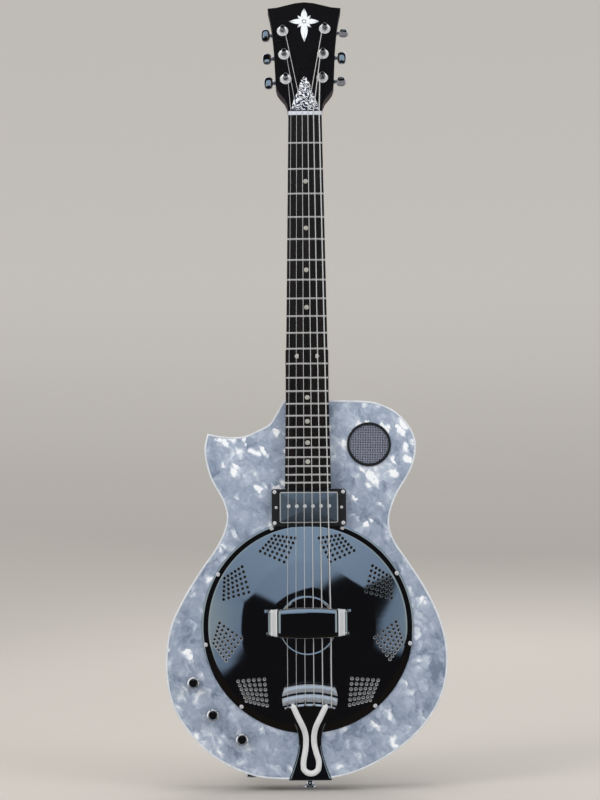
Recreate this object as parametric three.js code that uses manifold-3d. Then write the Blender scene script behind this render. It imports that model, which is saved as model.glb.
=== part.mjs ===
// Left-handed resonator guitar with a cutaway body, a pearloid top, a spun cone under a
// chrome coverplate, one pickup, a stamped tailpiece and six enclosed tuners.
// Millimetres. +Z runs up the neck, the front faces -Y and +X is the viewer's right.
// The origin is the middle of the end strap button's outer face.
import * as THREE from 'three';
import { mergeVertices } from 'three/addons/utils/BufferGeometryUtils.js';
import Module from 'manifold-3d';

const wasm = await Module();
wasm.setup();

// ---- driving dimensions -----------------------------------------------------------------
const GAP = 0.3;             // clearance left between pieces that rest on each other
const SCALE = 628.65;        // open string length that the frets divide
const FRETS = 23;
const BASE = 14;             // lowest edge of the body above the origin
const NUT_Z = 838;           // fret side of the nut
const TOP_Y = -25;           // front face of the body
const BACK_Y = 25;           // back face of the body
const PEARLOID = 1;          // thickness of the plastic sheet on the top
const TOP_BOARD = 3;
const BACK_BOARD = 4;
const INNER = 0.94;          // the body's inner outline over its outer one
const PLATE = [-1.5, 200];   // centre of the coverplate, cone and soundwell
const PLATE_R = 130.5;
const WELL_R = 120.5;        // inside of the soundwell
const SADDLE_Z = 204.5;
const PICKUP = [1, 345.5];
const SCREEN = [76.4, 423.4];
const SCREEN_R = 27.5;
const KNOBS = [[-141.6, 132.1], [-117.9, 93.2], [-82.5, 63.6]];
const JACK_X = -72;
const HEEL_Z = 479;          // where the neck meets the body
const BOARD_END_Z = 368.6;   // body end of the fingerboard
const BOARD_Y = -37;         // playing face of the fingerboard
const BOARD_BACK_Y = -31;
const NUT_HALF = 21;         // half of the fingerboard's width at the nut
const END_HALF = 28.5;       // and at its body end
const NUT_THICK = 5.2;
const STRING_NUT_Y = -39.2;
const STRING_SADDLE_Y = -42;
const STRINGS_NUT = 35.5;    // outer string to outer string
const STRINGS_SADDLE = 53.4;
const GAUGES = [0.3, 0.4, 0.6, 0.85, 1.1, 1.35];
const HEAD_TILT = THREE.MathUtils.degToRad(14);
const HEAD_THICK = 15;
const VENEER = 1.2;
const POSTS = [[-28, 117], [-26.2, 82.4], [-24.2, 46.8], [26.4, 120], [23.6, 83], [22.4, 48.4]];
const WORM_OFFSET = 7;       // worm axis to post axis
const BUTTON_REACH = [22.2, 24.6];  // middle of a button from its post, at the left and right
const BUTTON_TURNS = [20, 0, 10, 90, 12, 80];

// ---- making, joining and cutting solids ---------------------------------------------------
function welded(geometry) {
  const plain = geometry.clone();
  plain.deleteAttribute('normal');
  plain.deleteAttribute('uv');
  const merged = mergeVertices(plain, 1e-4);
  const old = merged.index.array;
  const kept = [];
  for (let i = 0; i < old.length; i += 3) {
    const [a, b, c] = [old[i], old[i + 1], old[i + 2]];
    if (a !== b && b !== c && c !== a) kept.push(a, b, c);
  }
  return { points: new Float32Array(merged.attributes.position.array), faces: new Uint32Array(kept) };
}

// Six times the signed volume: negative when the faces point inwards.
function signedVolume({ points, faces }) {
  const [a, b, c] = [new THREE.Vector3(), new THREE.Vector3(), new THREE.Vector3()];
  let total = 0;
  for (let i = 0; i < faces.length; i += 3) {
    a.fromArray(points, 3 * faces[i]);
    b.fromArray(points, 3 * faces[i + 1]);
    c.fromArray(points, 3 * faces[i + 2]);
    total += a.dot(b.cross(c));
  }
  return total;
}

function solid(geometry) {
  const mesh = welded(geometry);
  if (signedVolume(mesh) < 0) mesh.faces.reverse();
  return new wasm.Manifold(new wasm.Mesh({
    numProp: 3, vertProperties: mesh.points, triVerts: mesh.faces,
  }));
}

function joined(...geometries) {
  return geometries.map(solid).reduce((whole, next) => whole.add(next));
}

function cut(whole, ...geometries) {
  return geometries.map(solid).reduce((left, next) => left.subtract(next), whole);
}

function toGeometry(manifold) {
  const mesh = manifold.getMesh();
  const geometry = new THREE.BufferGeometry();
  geometry.setAttribute('position', new THREE.BufferAttribute(new Float32Array(mesh.vertProperties), 3));
  geometry.setIndex(new THREE.BufferAttribute(new Uint32Array(mesh.triVerts), 1));
  return geometry;
}

// ---- basic forms --------------------------------------------------------------------------
// A shape drawn in x and z, as thick as the two depths are apart.
function slab(shape, frontY, backY, curveSegments = 2) {
  const options = { depth: backY - frontY, bevelEnabled: false, curveSegments };
  return new THREE.ExtrudeGeometry(shape, options).rotateX(Math.PI / 2).translate(0, backY, 0);
}

// A profile of [radius, y] turned round the front-to-back axis through (x, z).
function turned(profile, [x, z], segments = 24) {
  const points = profile.map(([r, y]) => new THREE.Vector2(r, y));
  return new THREE.LatheGeometry(points, segments).translate(x, 0, z);
}

// A profile of [radius, z] turned round the vertical axis through (x, y).
function turnedUpright(profile, [x, y], segments = 20) {
  const points = profile.map(([r, z]) => new THREE.Vector2(r, z));
  return new THREE.LatheGeometry(points, segments).rotateX(Math.PI / 2).translate(x, y, 0);
}

// A profile of [radius, x] turned round the left-to-right axis through (y, z).
function turnedAcross(profile, [y, z], segments = 14) {
  const points = profile.map(([r, x]) => new THREE.Vector2(r, x));
  return new THREE.LatheGeometry(points, segments).rotateZ(-Math.PI / 2).translate(0, y, z);
}

function rod(radius, from, to) {
  return [[0, from], [radius, from], [radius, to], [0, to]];
}

function block(lowX, highX, lowY, highY, lowZ, highZ) {
  const box = new THREE.BoxGeometry(highX - lowX, highY - lowY, highZ - lowZ);
  return box.translate((lowX + highX) / 2, (lowY + highY) / 2, (lowZ + highZ) / 2);
}

// A shape drawn in z and y, carried across the body to both sides of an x.
function across(shape, halfWidth, x = 0) {
  const bar = new THREE.ExtrudeGeometry(shape, { depth: 2 * halfWidth, bevelEnabled: false });
  return bar.rotateY(-Math.PI / 2).translate(x + halfWidth, 0, 0);
}

// The section of a bent sheet: a line of points given half the thickness on each side.
function strip(line, thickness) {
  const points = line.map(([u, v]) => new THREE.Vector2(u, v));
  const side = (sign) => points.map((point, i) => {
    const before = points[Math.max(i - 1, 0)];
    const after = points[Math.min(i + 1, points.length - 1)];
    const into = point.clone().sub(before).normalize();
    const out = after.clone().sub(point).normalize();
    const along = into.clone().add(out).normalize();
    const reach = sign * thickness / 2 / Math.max(along.dot(i > 0 ? into : out), 0.5);
    return new THREE.Vector2(point.x - along.y * reach, point.y + along.x * reach);
  });
  return new THREE.Shape([...side(1), ...side(-1).reverse()]);
}

function polygon(points) {
  return new THREE.Shape(points.map(([x, z]) => new THREE.Vector2(x, z)));
}

function roundedRectangle(halfX, halfZ, radius, [x, z] = [0, 0]) {
  const shape = new THREE.Shape();
  const corners = [[1, -1, -90], [1, 1, 0], [-1, 1, 90], [-1, -1, 180]];
  for (const [sx, sz, start] of corners) {
    const from = THREE.MathUtils.degToRad(start);
    shape.absarc(x + sx * (halfX - radius), z + sz * (halfZ - radius), radius, from, from + Math.PI / 2);
  }
  return shape;
}

// A closed skin over rings that all have the same number of points, in order.
function loft(rings) {
  const count = rings[0].length;
  const points = rings.flat();
  const faces = [];
  for (let r = 0; r + 1 < rings.length; r += 1) {
    for (let i = 0; i < count; i += 1) {
      const [a, b] = [r * count + i, r * count + (i + 1) % count];
      faces.push(a, b, b + count, a, b + count, a + count);
    }
  }
  for (const [start, flip] of [[0, true], [(rings.length - 1) * count, false]]) {
    for (let i = 1; i + 1 < count; i += 1) {
      faces.push(start, start + (flip ? i + 1 : i), start + (flip ? i : i + 1));
    }
  }
  const geometry = new THREE.BufferGeometry();
  geometry.setAttribute('position', new THREE.Float32BufferAttribute(points.flat(), 3));
  geometry.setIndex(faces);
  return geometry;
}

// ---- the body -----------------------------------------------------------------------------
// Outline points as [x, height above the lowest edge]: the right side down to the bottom and
// up the left side to the horn, then the cutaway from the horn back to the neck.
const ROUND_SIDE = [
  [60, 464], [86, 461.3], [112, 448.5], [130.5, 425.4], [134.6, 402], [127, 375], [109.5, 345.8],
  [100.5, 316], [106, 291], [123.4, 264.3], [147, 226.8], [164, 187], [170.3, 150], [166.5, 113],
  [152, 80], [126, 49.5], [92, 25.3], [55, 8], [18, 0.4], [-24, 0], [-62, 2.9], [-98.3, 16],
  [-129.5, 37], [-156, 67.9], [-171, 99], [-176.5, 140], [-171.3, 183.4], [-155.8, 218.5],
  [-134.7, 253.2], [-111.1, 287.7], [-101, 317], [-105.9, 340.8], [-119.5, 365.5], [-127, 390.5],
  [-128, 409], [-124.6, 424],
];
const CUTAWAY = [
  [-112.5, 421.5], [-94.4, 419.4], [-77, 421], [-61.9, 427.6], [-47, 435.8], [-38.5, 449], [-29.2, 465],
];

// The outline, or a smaller copy of it about the coverplate's centre.
function bodyOutline(scale = 1) {
  const centre = new THREE.Vector2(...PLATE);
  const place = ([x, height]) => {
    const point = new THREE.Vector2(x, BASE + height);
    return point.sub(centre).multiplyScalar(scale).add(centre);
  };
  const start = place([29, 464.5]);
  const shape = new THREE.Shape();
  shape.moveTo(start.x, start.y);
  shape.splineThru(ROUND_SIDE.map(place));
  shape.splineThru(CUTAWAY.map(place));
  return shape;
}

const BOARD_FRONT_Y = TOP_Y + PEARLOID + GAP;
const RIM_FRONT_Y = BOARD_FRONT_Y + TOP_BOARD + GAP;
const RIM_BACK_Y = BACK_Y - BACK_BOARD - GAP;
const PICKUP_HALF = [36.1, 19.2];
const POLE_SPREAD = 50;      // outer pole screw to outer pole screw

// A layer of the top with the openings that the pearloid sheet and the board share.
function panelGeometry(frontY, backY) {
  const [from, to] = [frontY - 1, backY + 1];
  return cut(
    solid(slab(bodyOutline(), frontY, backY)),
    turned(rod(WELL_R, from, to), PLATE, 40),
    turned(rod(SCREEN_R - 2, from, to), SCREEN, 24),
    slab(roundedRectangle(PICKUP_HALF[0] + 1, PICKUP_HALF[1] + 0.9, 2, PICKUP), from, to),
    ...KNOBS.map((knob) => turned(rod(4, from, to), knob, 8)),
  );
}

const NECK_BOLTS_Y = [-10, 7];
const BOLT_R = 3;
const BOLT_HEAD_Z = 415;     // inner end of the neck block

function boltPath(radius, y, fromZ, toZ) {
  return turnedUpright(rod(radius, fromZ, toZ), [0, y], 12);
}

function rimGeometry() {
  return cut(
    solid(slab(bodyOutline(), RIM_FRONT_Y, RIM_BACK_Y)),
    slab(bodyOutline(INNER), RIM_FRONT_Y - 1, RIM_BACK_Y + 1),
    turnedUpright(rod(6.3, 0, BASE + 30), [JACK_X, 0], 16),
    turnedUpright(rod(11, 0, BASE + 7), [JACK_X, 0], 20),
    turnedUpright(rod(2.3, 0, BASE + 30), [0, 0], 12),
    ...NECK_BOLTS_Y.map((y) => boltPath(BOLT_R + GAP, y, HEEL_Z - 40, HEEL_Z + 20)),
  );
}

function blockGeometry(lowZ, highZ, halfX, bores) {
  const inside = solid(slab(bodyOutline(INNER - 0.003), RIM_FRONT_Y + GAP, RIM_BACK_Y - GAP));
  const box = solid(block(-halfX, halfX, -30, 30, lowZ, highZ));
  return cut(inside.intersect(box), ...bores);
}

function soundwellGeometry() {
  const ledge = -7;
  const [front, back] = [RIM_FRONT_Y + GAP, RIM_BACK_Y - GAP];
  const profile = [
    [WELL_R, front], [WELL_R + 3.6, front], [WELL_R + 3.6, back], [WELL_R - 8, back],
    [WELL_R - 8, ledge], [WELL_R, ledge], [WELL_R, front],
  ];
  return turned(profile, PLATE, 36);
}

// ---- the resonator ------------------------------------------------------------------------
function coneGeometry() {
  const profile = [
    [0, -24], [26, -24], [105, -8.2], [WELL_R - 0.8, -8.2],
    [WELL_R - 0.8, -7.3], [104, -7.3], [25.5, -23], [0, -23],
  ];
  return turned(profile, PLATE, 36);
}

function biscuitGeometry() {
  return turned([[0, -29.3], [20.5, -29.3], [22, -28.3], [22, -24.3], [0, -24.3]], PLATE, 20);
}

function saddleGeometry() {
  const [foot, top] = [-29.6, -41];
  const side = polygon([
    [1.6, foot], [1.4, top + 0.8], [0.5, top], [-0.5, top], [-1.4, top + 0.8], [-1.6, foot],
  ].map(([z, y]) => [SADDLE_Z + z, y]));
  return across(side, 29);
}

// Height of the coverplate's outer skin above the top, by radius.
const PLATE_SKIN = [
  [PLATE_R, 1.6], [122, 1.6], [117, 6], [80, 7.6], [37, 8.5], [34.5, 9.5], [32, 8.5], [0, 8.5],
];
const PLATE_SHEET = 1;

function coverplateGeometry() {
  const outer = PLATE_SKIN.map(([r, height]) => [r, TOP_Y - height]);
  const inner = PLATE_SKIN.slice(1).map(([r, height]) => [r, TOP_Y - height + PLATE_SHEET]);
  const profile = [...outer, ...inner.reverse(), [PLATE_R, TOP_Y - 1.6 + PLATE_SHEET], outer[0]];
  const dish = solid(turned(profile, PLATE, 48));
  const saddleSlot = slab(roundedRectangle(34, 13, 3, [0, SADDLE_Z]), TOP_Y - 20, TOP_Y);
  const frameSpace = slab(roundedRectangle(46.3, 23.1, 2, PICKUP), TOP_Y - 20, TOP_Y);
  return cut(dish, saddleSlot, frameSpace);
}

// A strap of sheet metal over the saddle: feet, legs and a palm rest bowed at its long edges.
function handrestGeometry() {
  const bends = [[52, 9.4], [44.5, 9.4], [38, 23], [33, 24.8], [0, 25.3]];
  const line = [...bends, ...bends.slice(0, -1).reverse().map(([x, height]) => [-x, height])];
  const strap = strip(line.map(([x, height]) => [PLATE[0] + x, TOP_Y - height]), 1.4);
  const depth = 60;
  const tall = new THREE.ExtrudeGeometry(strap, { depth, bevelEnabled: false });
  tall.translate(0, 0, SADDLE_Z - depth / 2);
  const edge = [[52.5, 14], [44, 15.5], [36, 18], [0, 18.6]];
  const upper = [...edge, ...edge.slice(0, -1).reverse().map(([x, z]) => [-x, z])];
  const plan = polygon([...upper, ...upper.map(([x, z]) => [-x, -z])]
    .map(([x, z]) => [PLATE[0] + x, SADDLE_Z + z]));
  return solid(tall).intersect(solid(slab(plan, TOP_Y - 40, TOP_Y)));
}

// ---- the tailpiece ------------------------------------------------------------------------
const TAIL_X = 0.3;
const TAIL_SHEET = 1.6;
// Height of the sheet's middle above the top, by distance up the body.
const TAIL_RISE = [
  [BASE - 1.8, 1.3], [57, 1.3], [68, 2.7], [72, 3.8], [83, 8.8], [98, 10.4], [104, 11.2],
  [112, 11.9], [123, 11.9], [131.8, 10.6],
];
// Half widths of the plate, from the fold at the bottom up to the string head.
const TAIL_HALF = [
  [26, BASE - 4], [26, BASE], [20.5, 28], [15.2, 43], [13.2, 56], [14, 66], [16.2, 76], [24, 92],
  [28.8, 100], [32, 107], [33.8, 118], [33, 126], [29.5, 129.6], [15, 131.3],
];
const SKIRT_BACK_Y = 12;     // how far the fold runs under the body

function stringPlaces(spread) {
  return GAUGES.map((_, i) => spread * (i / (GAUGES.length - 1) - 0.5));
}

function tailpieceGeometry() {
  const rise = TAIL_RISE.map(([z, height]) => [z, TOP_Y - height]);
  const sheet = across(strip([[BASE - 1.8, SKIRT_BACK_Y], ...rise], TAIL_SHEET), 40, TAIL_X);
  const left = TAIL_HALF.map(([x, z]) => [TAIL_X - x, z]).reverse();
  const plan = polygon([...TAIL_HALF.map(([x, z]) => [TAIL_X + x, z]), ...left]);
  return cut(
    solid(sheet).intersect(solid(slab(plan, -60, 60))),
    turnedUpright(rod(2.3, 0, BASE + 5), [0, 0], 12),
    ...stringPlaces(STRINGS_SADDLE).map((x) => block(x - 1.1, x + 1.1, -60, -20, 101, 107)),
  );
}

function endButtonGeometry() {
  const foot = BASE - 2.9;
  const profile = [
    [0, 0], [6.4, 0], [7.2, 1], [7, 2.4], [4.3, 5], [4, 8], [5.5, foot - 1], [5.6, foot], [2, foot],
    [2, BASE + 28], [0, BASE + 32],
  ];
  return turnedUpright(profile, [0, 0], 16);
}

// ---- the neck -----------------------------------------------------------------------------
const HEEL_BUTTON = [0, HEEL_Z + 6.6];

function boardHalf(z) {
  return NUT_HALF + (END_HALF - NUT_HALF) * (NUT_Z - z) / (NUT_Z - BOARD_END_Z);
}

const WOOD_Y = BOARD_BACK_Y + GAP;
const HEAD_START = [NUT_Z + NUT_THICK + 2 * GAP, WOOD_Y - VENEER - GAP];

// One section of the shaft: flat under the fingerboard and round behind.
function shaftRing(z, half, depth) {
  const ring = [[-half, WOOD_Y, z]];
  for (let i = 0; i <= 10; i += 1) {
    const turn = Math.PI * (1 - i / 10);
    const bulge = Math.sign(Math.cos(turn)) * Math.abs(Math.cos(turn)) ** 0.85;
    ring.push([half * bulge, WOOD_Y + 3 + (depth - 3) * Math.sin(turn) ** 0.9, z]);
  }
  ring.push([half, WOOD_Y, z]);
  return ring;
}

function shaftGeometry() {
  const stations = [HEEL_Z + GAP, 560, 650, 740, 815, HEAD_START[0] - 0.1];
  const depths = [17.5, 16.6, 16, 15.4, 14.9, 14.7];
  return loft(stations.map((z, i) => shaftRing(z, boardHalf(z), depths[i])));
}

// The heel: the curve that brings the shaft out to the body's depth, and its rounded plan.
function heelSolid() {
  const [front, cap, z] = [WOOD_Y, BACK_Y - 4, HEEL_Z + GAP];
  const side = new THREE.Shape();
  side.moveTo(z, front);
  side.lineTo(z, cap);
  side.lineTo(z + 13, cap);
  side.bezierCurveTo(z + 17, cap - 14, z + 26, -15, z + 62, -14.5);
  side.lineTo(z + 62, front);
  const half = boardHalf(z);
  const plan = [[half, front], [half, -18], [half - 4, 0], [half - 8, 14], [14, cap]];
  const ring = (at) => [...plan, ...plan.map(([x, y]) => [-x, y]).reverse()].map(([x, y]) => [x, y, at]);
  return solid(across(side, 40)).intersect(solid(loft([ring(z - 2), ring(z + 64)])));
}

function tongueGeometry() {
  const [low, high] = [BOARD_END_Z + 1, HEEL_Z + 2];
  const [halfLow, halfHigh] = [boardHalf(low) - 0.3, boardHalf(high) - 0.3];
  const plan = polygon([[-halfLow, low], [halfLow, low], [halfHigh, high], [-halfHigh, high]]);
  return slab(plan, WOOD_Y, TOP_Y - GAP);
}

// The headstock's outline as half widths by distance from the nut, with its bell-shaped end.
const HEAD_SIDE = [
  [21.2, 0], [22.4, 10], [25.6, 18], [31, 25], [35, 31], [36.8, 38], [37.6, 59], [39.4, 94],
  [42.2, 123.5], [44.8, 139], [47.2, 151],
];
const HEAD_PEAK = 160.2;

function headstockShape() {
  const [corner, shoulder] = HEAD_SIDE.at(-1);
  const end = [];
  for (let i = 1; i < 8; i += 1) {
    const x = corner * (1 - i / 4);
    const bell = 0.5 + 0.5 * Math.cos(Math.PI * x / corner);
    end.push([x, shoulder + (HEAD_PEAK - shoulder) * bell]);
  }
  const left = HEAD_SIDE.map(([x, s]) => [-x, s]).reverse();
  return polygon([...HEAD_SIDE, ...end, ...left]);
}

// Pieces of the headstock are drawn flat, with y as the depth behind its face, then tilted.
function tilted(geometry) {
  return geometry.rotateX(-HEAD_TILT).translate(0, HEAD_START[1], HEAD_START[0]);
}

const ROD_Y = -27;
const ROD_R = 2.7;
const ROD_POCKET = [5.5, 15];  // half width and length of the pocket beyond the nut

function postHoles(from, to) {
  return POSTS.map((post) => turned(rod(5, from, to), post, 12));
}

function neckGeometry() {
  const head = slab(headstockShape(), VENEER + GAP, HEAD_THICK);
  const wood = joined(shaftGeometry(), tongueGeometry(), tilted(head)).add(heelSolid());
  const [pocketHalf, pocketLength] = ROD_POCKET;
  return cut(
    wood,
    block(-ROD_R - GAP, ROD_R + GAP, WOOD_Y - 5, ROD_Y + ROD_R + GAP, HEEL_Z + 20, NUT_Z + 12),
    tilted(block(-pocketHalf, pocketHalf, -3, 11, -1, pocketLength)),
    ...postHoles(-3, HEAD_THICK + 3).map(tilted),
    ...NECK_BOLTS_Y.map((y) => boltPath(BOLT_R + GAP, y, HEEL_Z - 5, HEEL_Z + (y < 0 ? 24 : 7))),
    turned(rod(2.2, BACK_Y - 13, BACK_Y + 5), HEEL_BUTTON, 10),
  );
}

function veneerGeometry() {
  const [pocketHalf, pocketLength] = ROD_POCKET;
  return cut(
    solid(slab(headstockShape(), 0, VENEER)),
    block(-pocketHalf, pocketHalf, -3, 8, -1, pocketLength),
    ...postHoles(-3, HEAD_THICK + 3),
  );
}

function rodCoverGeometry() {
  const shape = new THREE.Shape();
  shape.moveTo(-17, 2);
  shape.lineTo(17, 2);
  shape.quadraticCurveTo(16, 16, 8, 30);
  shape.quadraticCurveTo(6, 46, 0, 50);
  shape.quadraticCurveTo(-6, 46, -8, 30);
  shape.quadraticCurveTo(-16, 16, -17, 2);
  return slab(shape, -GAP - 1.8, -GAP, 5);
}

function rodGeometry() {
  return joined(
    turnedUpright(rod(ROD_R, HEEL_Z + 21, NUT_Z + 8), [0, ROD_Y], 12),
    turnedUpright(rod(3.6, NUT_Z + 8, NUT_Z + 15), [0, ROD_Y + 1], 6),
  );
}

function fretZ(number) {
  return NUT_Z - SCALE * (1 - 2 ** (-number / 12));
}

// A fret's section: distance along the board and depth from its playing face.
const FRET_CROWN = [[-1.2, 0.4], [-1.2, -0.6], [-0.6, -1], [0.6, -1], [1.2, -0.6], [1.2, 0.4]];

function fingerboardGeometry() {
  const plan = polygon([
    [-END_HALF, BOARD_END_Z], [END_HALF, BOARD_END_Z], [NUT_HALF, NUT_Z], [-NUT_HALF, NUT_Z],
  ]);
  const frets = [];
  for (let number = 1; number <= FRETS; number += 1) {
    const z = fretZ(number);
    const half = boardHalf(z) - 0.6;
    frets.push(across(polygon(FRET_CROWN.map(([at, y]) => [z + at, BOARD_Y + y])), half));
  }
  return joined(slab(plan, BOARD_Y, BOARD_BACK_Y), ...frets);
}

function nutGeometry() {
  const low = NUT_Z + GAP;
  return block(-NUT_HALF, NUT_HALF, STRING_NUT_Y + 1.1, WOOD_Y - GAP, low, low + NUT_THICK - GAP);
}

function neckBoltGeometry(y) {
  const end = HEEL_Z + (y < 0 ? 23 : 6);
  const head = BOLT_HEAD_Z;
  const profile = [
    [0, head - 4], [5.5, head - 4], [5.5, head], [BOLT_R, head], [BOLT_R, end], [0, end],
  ];
  return turnedUpright(profile, [0, y], 14);
}

function heelButtonGeometry() {
  const seat = BACK_Y - 4 + GAP;
  const profile = [
    [0, seat - 8], [1.9, seat - 7], [1.9, seat], [5.4, seat], [5.2, seat + 1], [3.6, seat + 4],
    [4.4, seat + 8.5], [6.8, seat + 10.5], [6.8, seat + 12], [0, seat + 12],
  ];
  return turned(profile, HEEL_BUTTON, 14);
}

// ---- pickup, controls, jack and sound screen ------------------------------------------------
function pickupRingGeometry() {
  const frame = solid(slab(roundedRectangle(46, 22.8, 3, PICKUP), TOP_Y - 7.2, TOP_Y - GAP));
  const window = slab(roundedRectangle(PICKUP_HALF[0] + 0.4, PICKUP_HALF[1] + 0.4, 2, PICKUP), -60, 0);
  return cut(frame, window);
}

function pickupGeometry() {
  const cover = roundedRectangle(PICKUP_HALF[0], PICKUP_HALF[1], 2.2, PICKUP);
  const top = TOP_Y - 11.2;
  const poles = stringPlaces(POLE_SPREAD)
    .map((x) => turned(rod(2.2, top - 1, top + 2.2), [PICKUP[0] + x, PICKUP[1] + 1.5], 10));
  return joined(slab(cover, top, -14), ...poles);
}

// A barrel knob pressed on its shaft; the shaft turns in the potentiometer's bore.
function knobGeometry(place) {
  const base = TOP_Y - 1.2;
  const profile = [
    [0, -13], [2.8, -13], [2.8, base - 5.5], [6.1, base - 5.5], [6.1, base], [7.6, base],
    [7.6, base - 11.5], [5.6, base - 14.2], [0, base - 14.2],
  ];
  return turned(profile, place, 16);
}

function potGeometry(place) {
  const body = RIM_FRONT_Y + GAP;
  const profile = [
    [3.1, TOP_Y - 4], [3.6, TOP_Y - 4], [3.6, TOP_Y - 2.4], [5.6, TOP_Y - 2.4], [5.6, TOP_Y - GAP],
    [3.6, TOP_Y - GAP], [3.6, body], [8.3, body], [8.3, body + 10.5], [0, body + 10.5],
    [0, -12.6], [3.1, -12.6], [3.1, TOP_Y - 4],
  ];
  return turned(profile, place, 14);
}

// The barrel passes through the side from a sunken seat; the nut clamps it from outside.
function jackGeometry() {
  const seat = BASE + 7 - GAP;
  const profile = [
    [3.3, seat - 7.5], [5.4, seat - 7.5], [7.6, seat - 6], [7.6, seat - 1.4], [9.6, seat - 1.4],
    [9.6, seat], [5.9, seat], [5.9, seat + 30], [3.3, seat + 30], [3.3, seat - 7.5],
  ];
  return turnedUpright(profile, [JACK_X, 0], 18);
}

function screenBezelGeometry() {
  const profile = [
    [SCREEN_R - 3, TOP_Y - 1.6], [SCREEN_R - 2.2, TOP_Y - 2.6], [SCREEN_R - 0.6, TOP_Y - 2.2],
    [SCREEN_R, TOP_Y - 1.2], [SCREEN_R, TOP_Y - GAP], [SCREEN_R - 2.3, TOP_Y - GAP],
    [SCREEN_R - 2.3, RIM_FRONT_Y], [SCREEN_R - 3, RIM_FRONT_Y], [SCREEN_R - 3, TOP_Y - 1.6],
  ];
  return turned(profile, SCREEN, 28);
}

function screenMeshGeometry() {
  const edge = SCREEN_R - 3 - GAP;
  return turned([[0, -25.8], [edge * 0.6, -25.5], [edge, -24.8], [edge, -24], [0, -25]], SCREEN, 24);
}

// ---- strings --------------------------------------------------------------------------------
const SADDLE_PLACES = stringPlaces(STRINGS_SADDLE);
const NUT_PLACES = stringPlaces(STRINGS_NUT);
// The post that each string runs to, from the thinnest string at the left to the thickest.
const STRING_POSTS = [2, 1, 0, 3, 4, 5];
const WRAP_DEPTH = -5;       // how far in front of the headstock the strings meet the posts

function headPoint(x, depth, s) {
  const [cos, sin] = [Math.cos(HEAD_TILT), Math.sin(HEAD_TILT)];
  return [x, HEAD_START[1] + depth * cos + s * sin, HEAD_START[0] - depth * sin + s * cos];
}

function stringRoute(index) {
  const post = POSTS[STRING_POSTS[index]];
  const inward = post[0] < 0 ? 1 : -1;
  return [
    [SADDLE_PLACES[index], TOP_Y - 13.9, 108],
    [SADDLE_PLACES[index], TOP_Y - 14.1, 124],
    [SADDLE_PLACES[index], STRING_SADDLE_Y, SADDLE_Z],
    [NUT_PLACES[index], STRING_NUT_Y, NUT_Z + 1],
    [NUT_PLACES[index], STRING_NUT_Y + 0.1, NUT_Z + NUT_THICK],
    headPoint(post[0] + inward * 4.3, WRAP_DEPTH, post[1] - 2),
  ];
}

function stringGeometry(index) {
  const radius = Math.max(GAUGES[index], 0.4) / 2;
  const rings = stringRoute(index).map(([x, y, z]) => {
    const ring = [];
    for (let i = 0; i < 6; i += 1) {
      const turn = i * Math.PI / 3;
      ring.push([x + radius * Math.cos(turn), y + radius * Math.sin(turn), z]);
    }
    return ring;
  });
  return loft(rings);
}

// ---- tuners ---------------------------------------------------------------------------------
const WORM_DEPTH = HEAD_THICK + 6;

// Drawn round the post's axis: a cast case behind the headstock, a threaded bush through it
// and a washer on the face. The case is hollow for the wheel and the worm, and side is 1 where
// the button is towards +X.
function tunerHousingGeometry(side) {
  const caseFront = HEAD_THICK + GAP;
  const worm = [WORM_DEPTH, WORM_OFFSET];
  return cut(
    joined(
      slab(roundedRectangle(8, 9.8, 3, [0, 1.8]), caseFront, caseFront + 11.5),
      turned(rod(4.6, -2, caseFront + 1), [0, 0], 12),
      turned([[0, -1.6], [7.2, -1.1], [7.2, -GAP], [0, -GAP]], [0, 0], 14),
    ),
    turned(rod(3.3, -5, caseFront + 3), [0, 0], 10),
    turned(rod(5.2, caseFront + 2, caseFront + 9), [0, 0], 12),
    turnedAcross(rod(2.7, -6, 6), worm, 10),
    turnedAcross(rod(1.9, 0, side * 12), worm, 10),
  );
}

function tunerPostGeometry() {
  const wheel = HEAD_THICK + 3;
  const profile = [
    [0, -11], [3, -10.6], [2.9, -8.4], [2.4, -6], [2.9, -2.6], [2.9, wheel], [4.5, wheel],
    [4.5, wheel + 5.5], [0, wheel + 5.5],
  ];
  return turned(profile, [0, 0], 10);
}

// The worm, its shaft and the oval button, drawn along the worm's axis.
function tunerButtonGeometry(side, reach) {
  const profile = [
    [0, -5], [2.1, -5], [2.1, 5], [1.6, 5.4], [1.6, reach - 7], [2.6, reach - 6.5],
    [2.6, reach - 3], [0, reach - 3],
  ];
  const shaft = turnedAcross(profile.map(([r, x]) => [r, side * x]), [0, 0], 8);
  const oval = new THREE.SphereGeometry(1, 12, 8).rotateZ(Math.PI / 2).scale(6.2, 3.3, 8.2);
  return joined(shaft, oval.translate(side * reach, 0, 0));
}

// ---- materials and assembly -----------------------------------------------------------------
function finish(color, roughness, metalness) {
  return new THREE.MeshStandardMaterial({ color, roughness, metalness });
}

const part = new THREE.Group();

// Every piece is made into a closed solid that faces outwards before it becomes a mesh.
function add(name, form, material, parent = part) {
  const mesh = new THREE.Mesh(toGeometry(form.isBufferGeometry ? solid(form) : form), material);
  mesh.name = name;
  parent.add(mesh);
  return mesh;
}

const chrome = () => finish(0xd8dde4, 0.08, 1);
const blackGloss = () => finish(0x0c0c0e, 0.15, 0);
const bareWood = () => finish(0xb98d5a, 0.6, 0);

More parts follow.
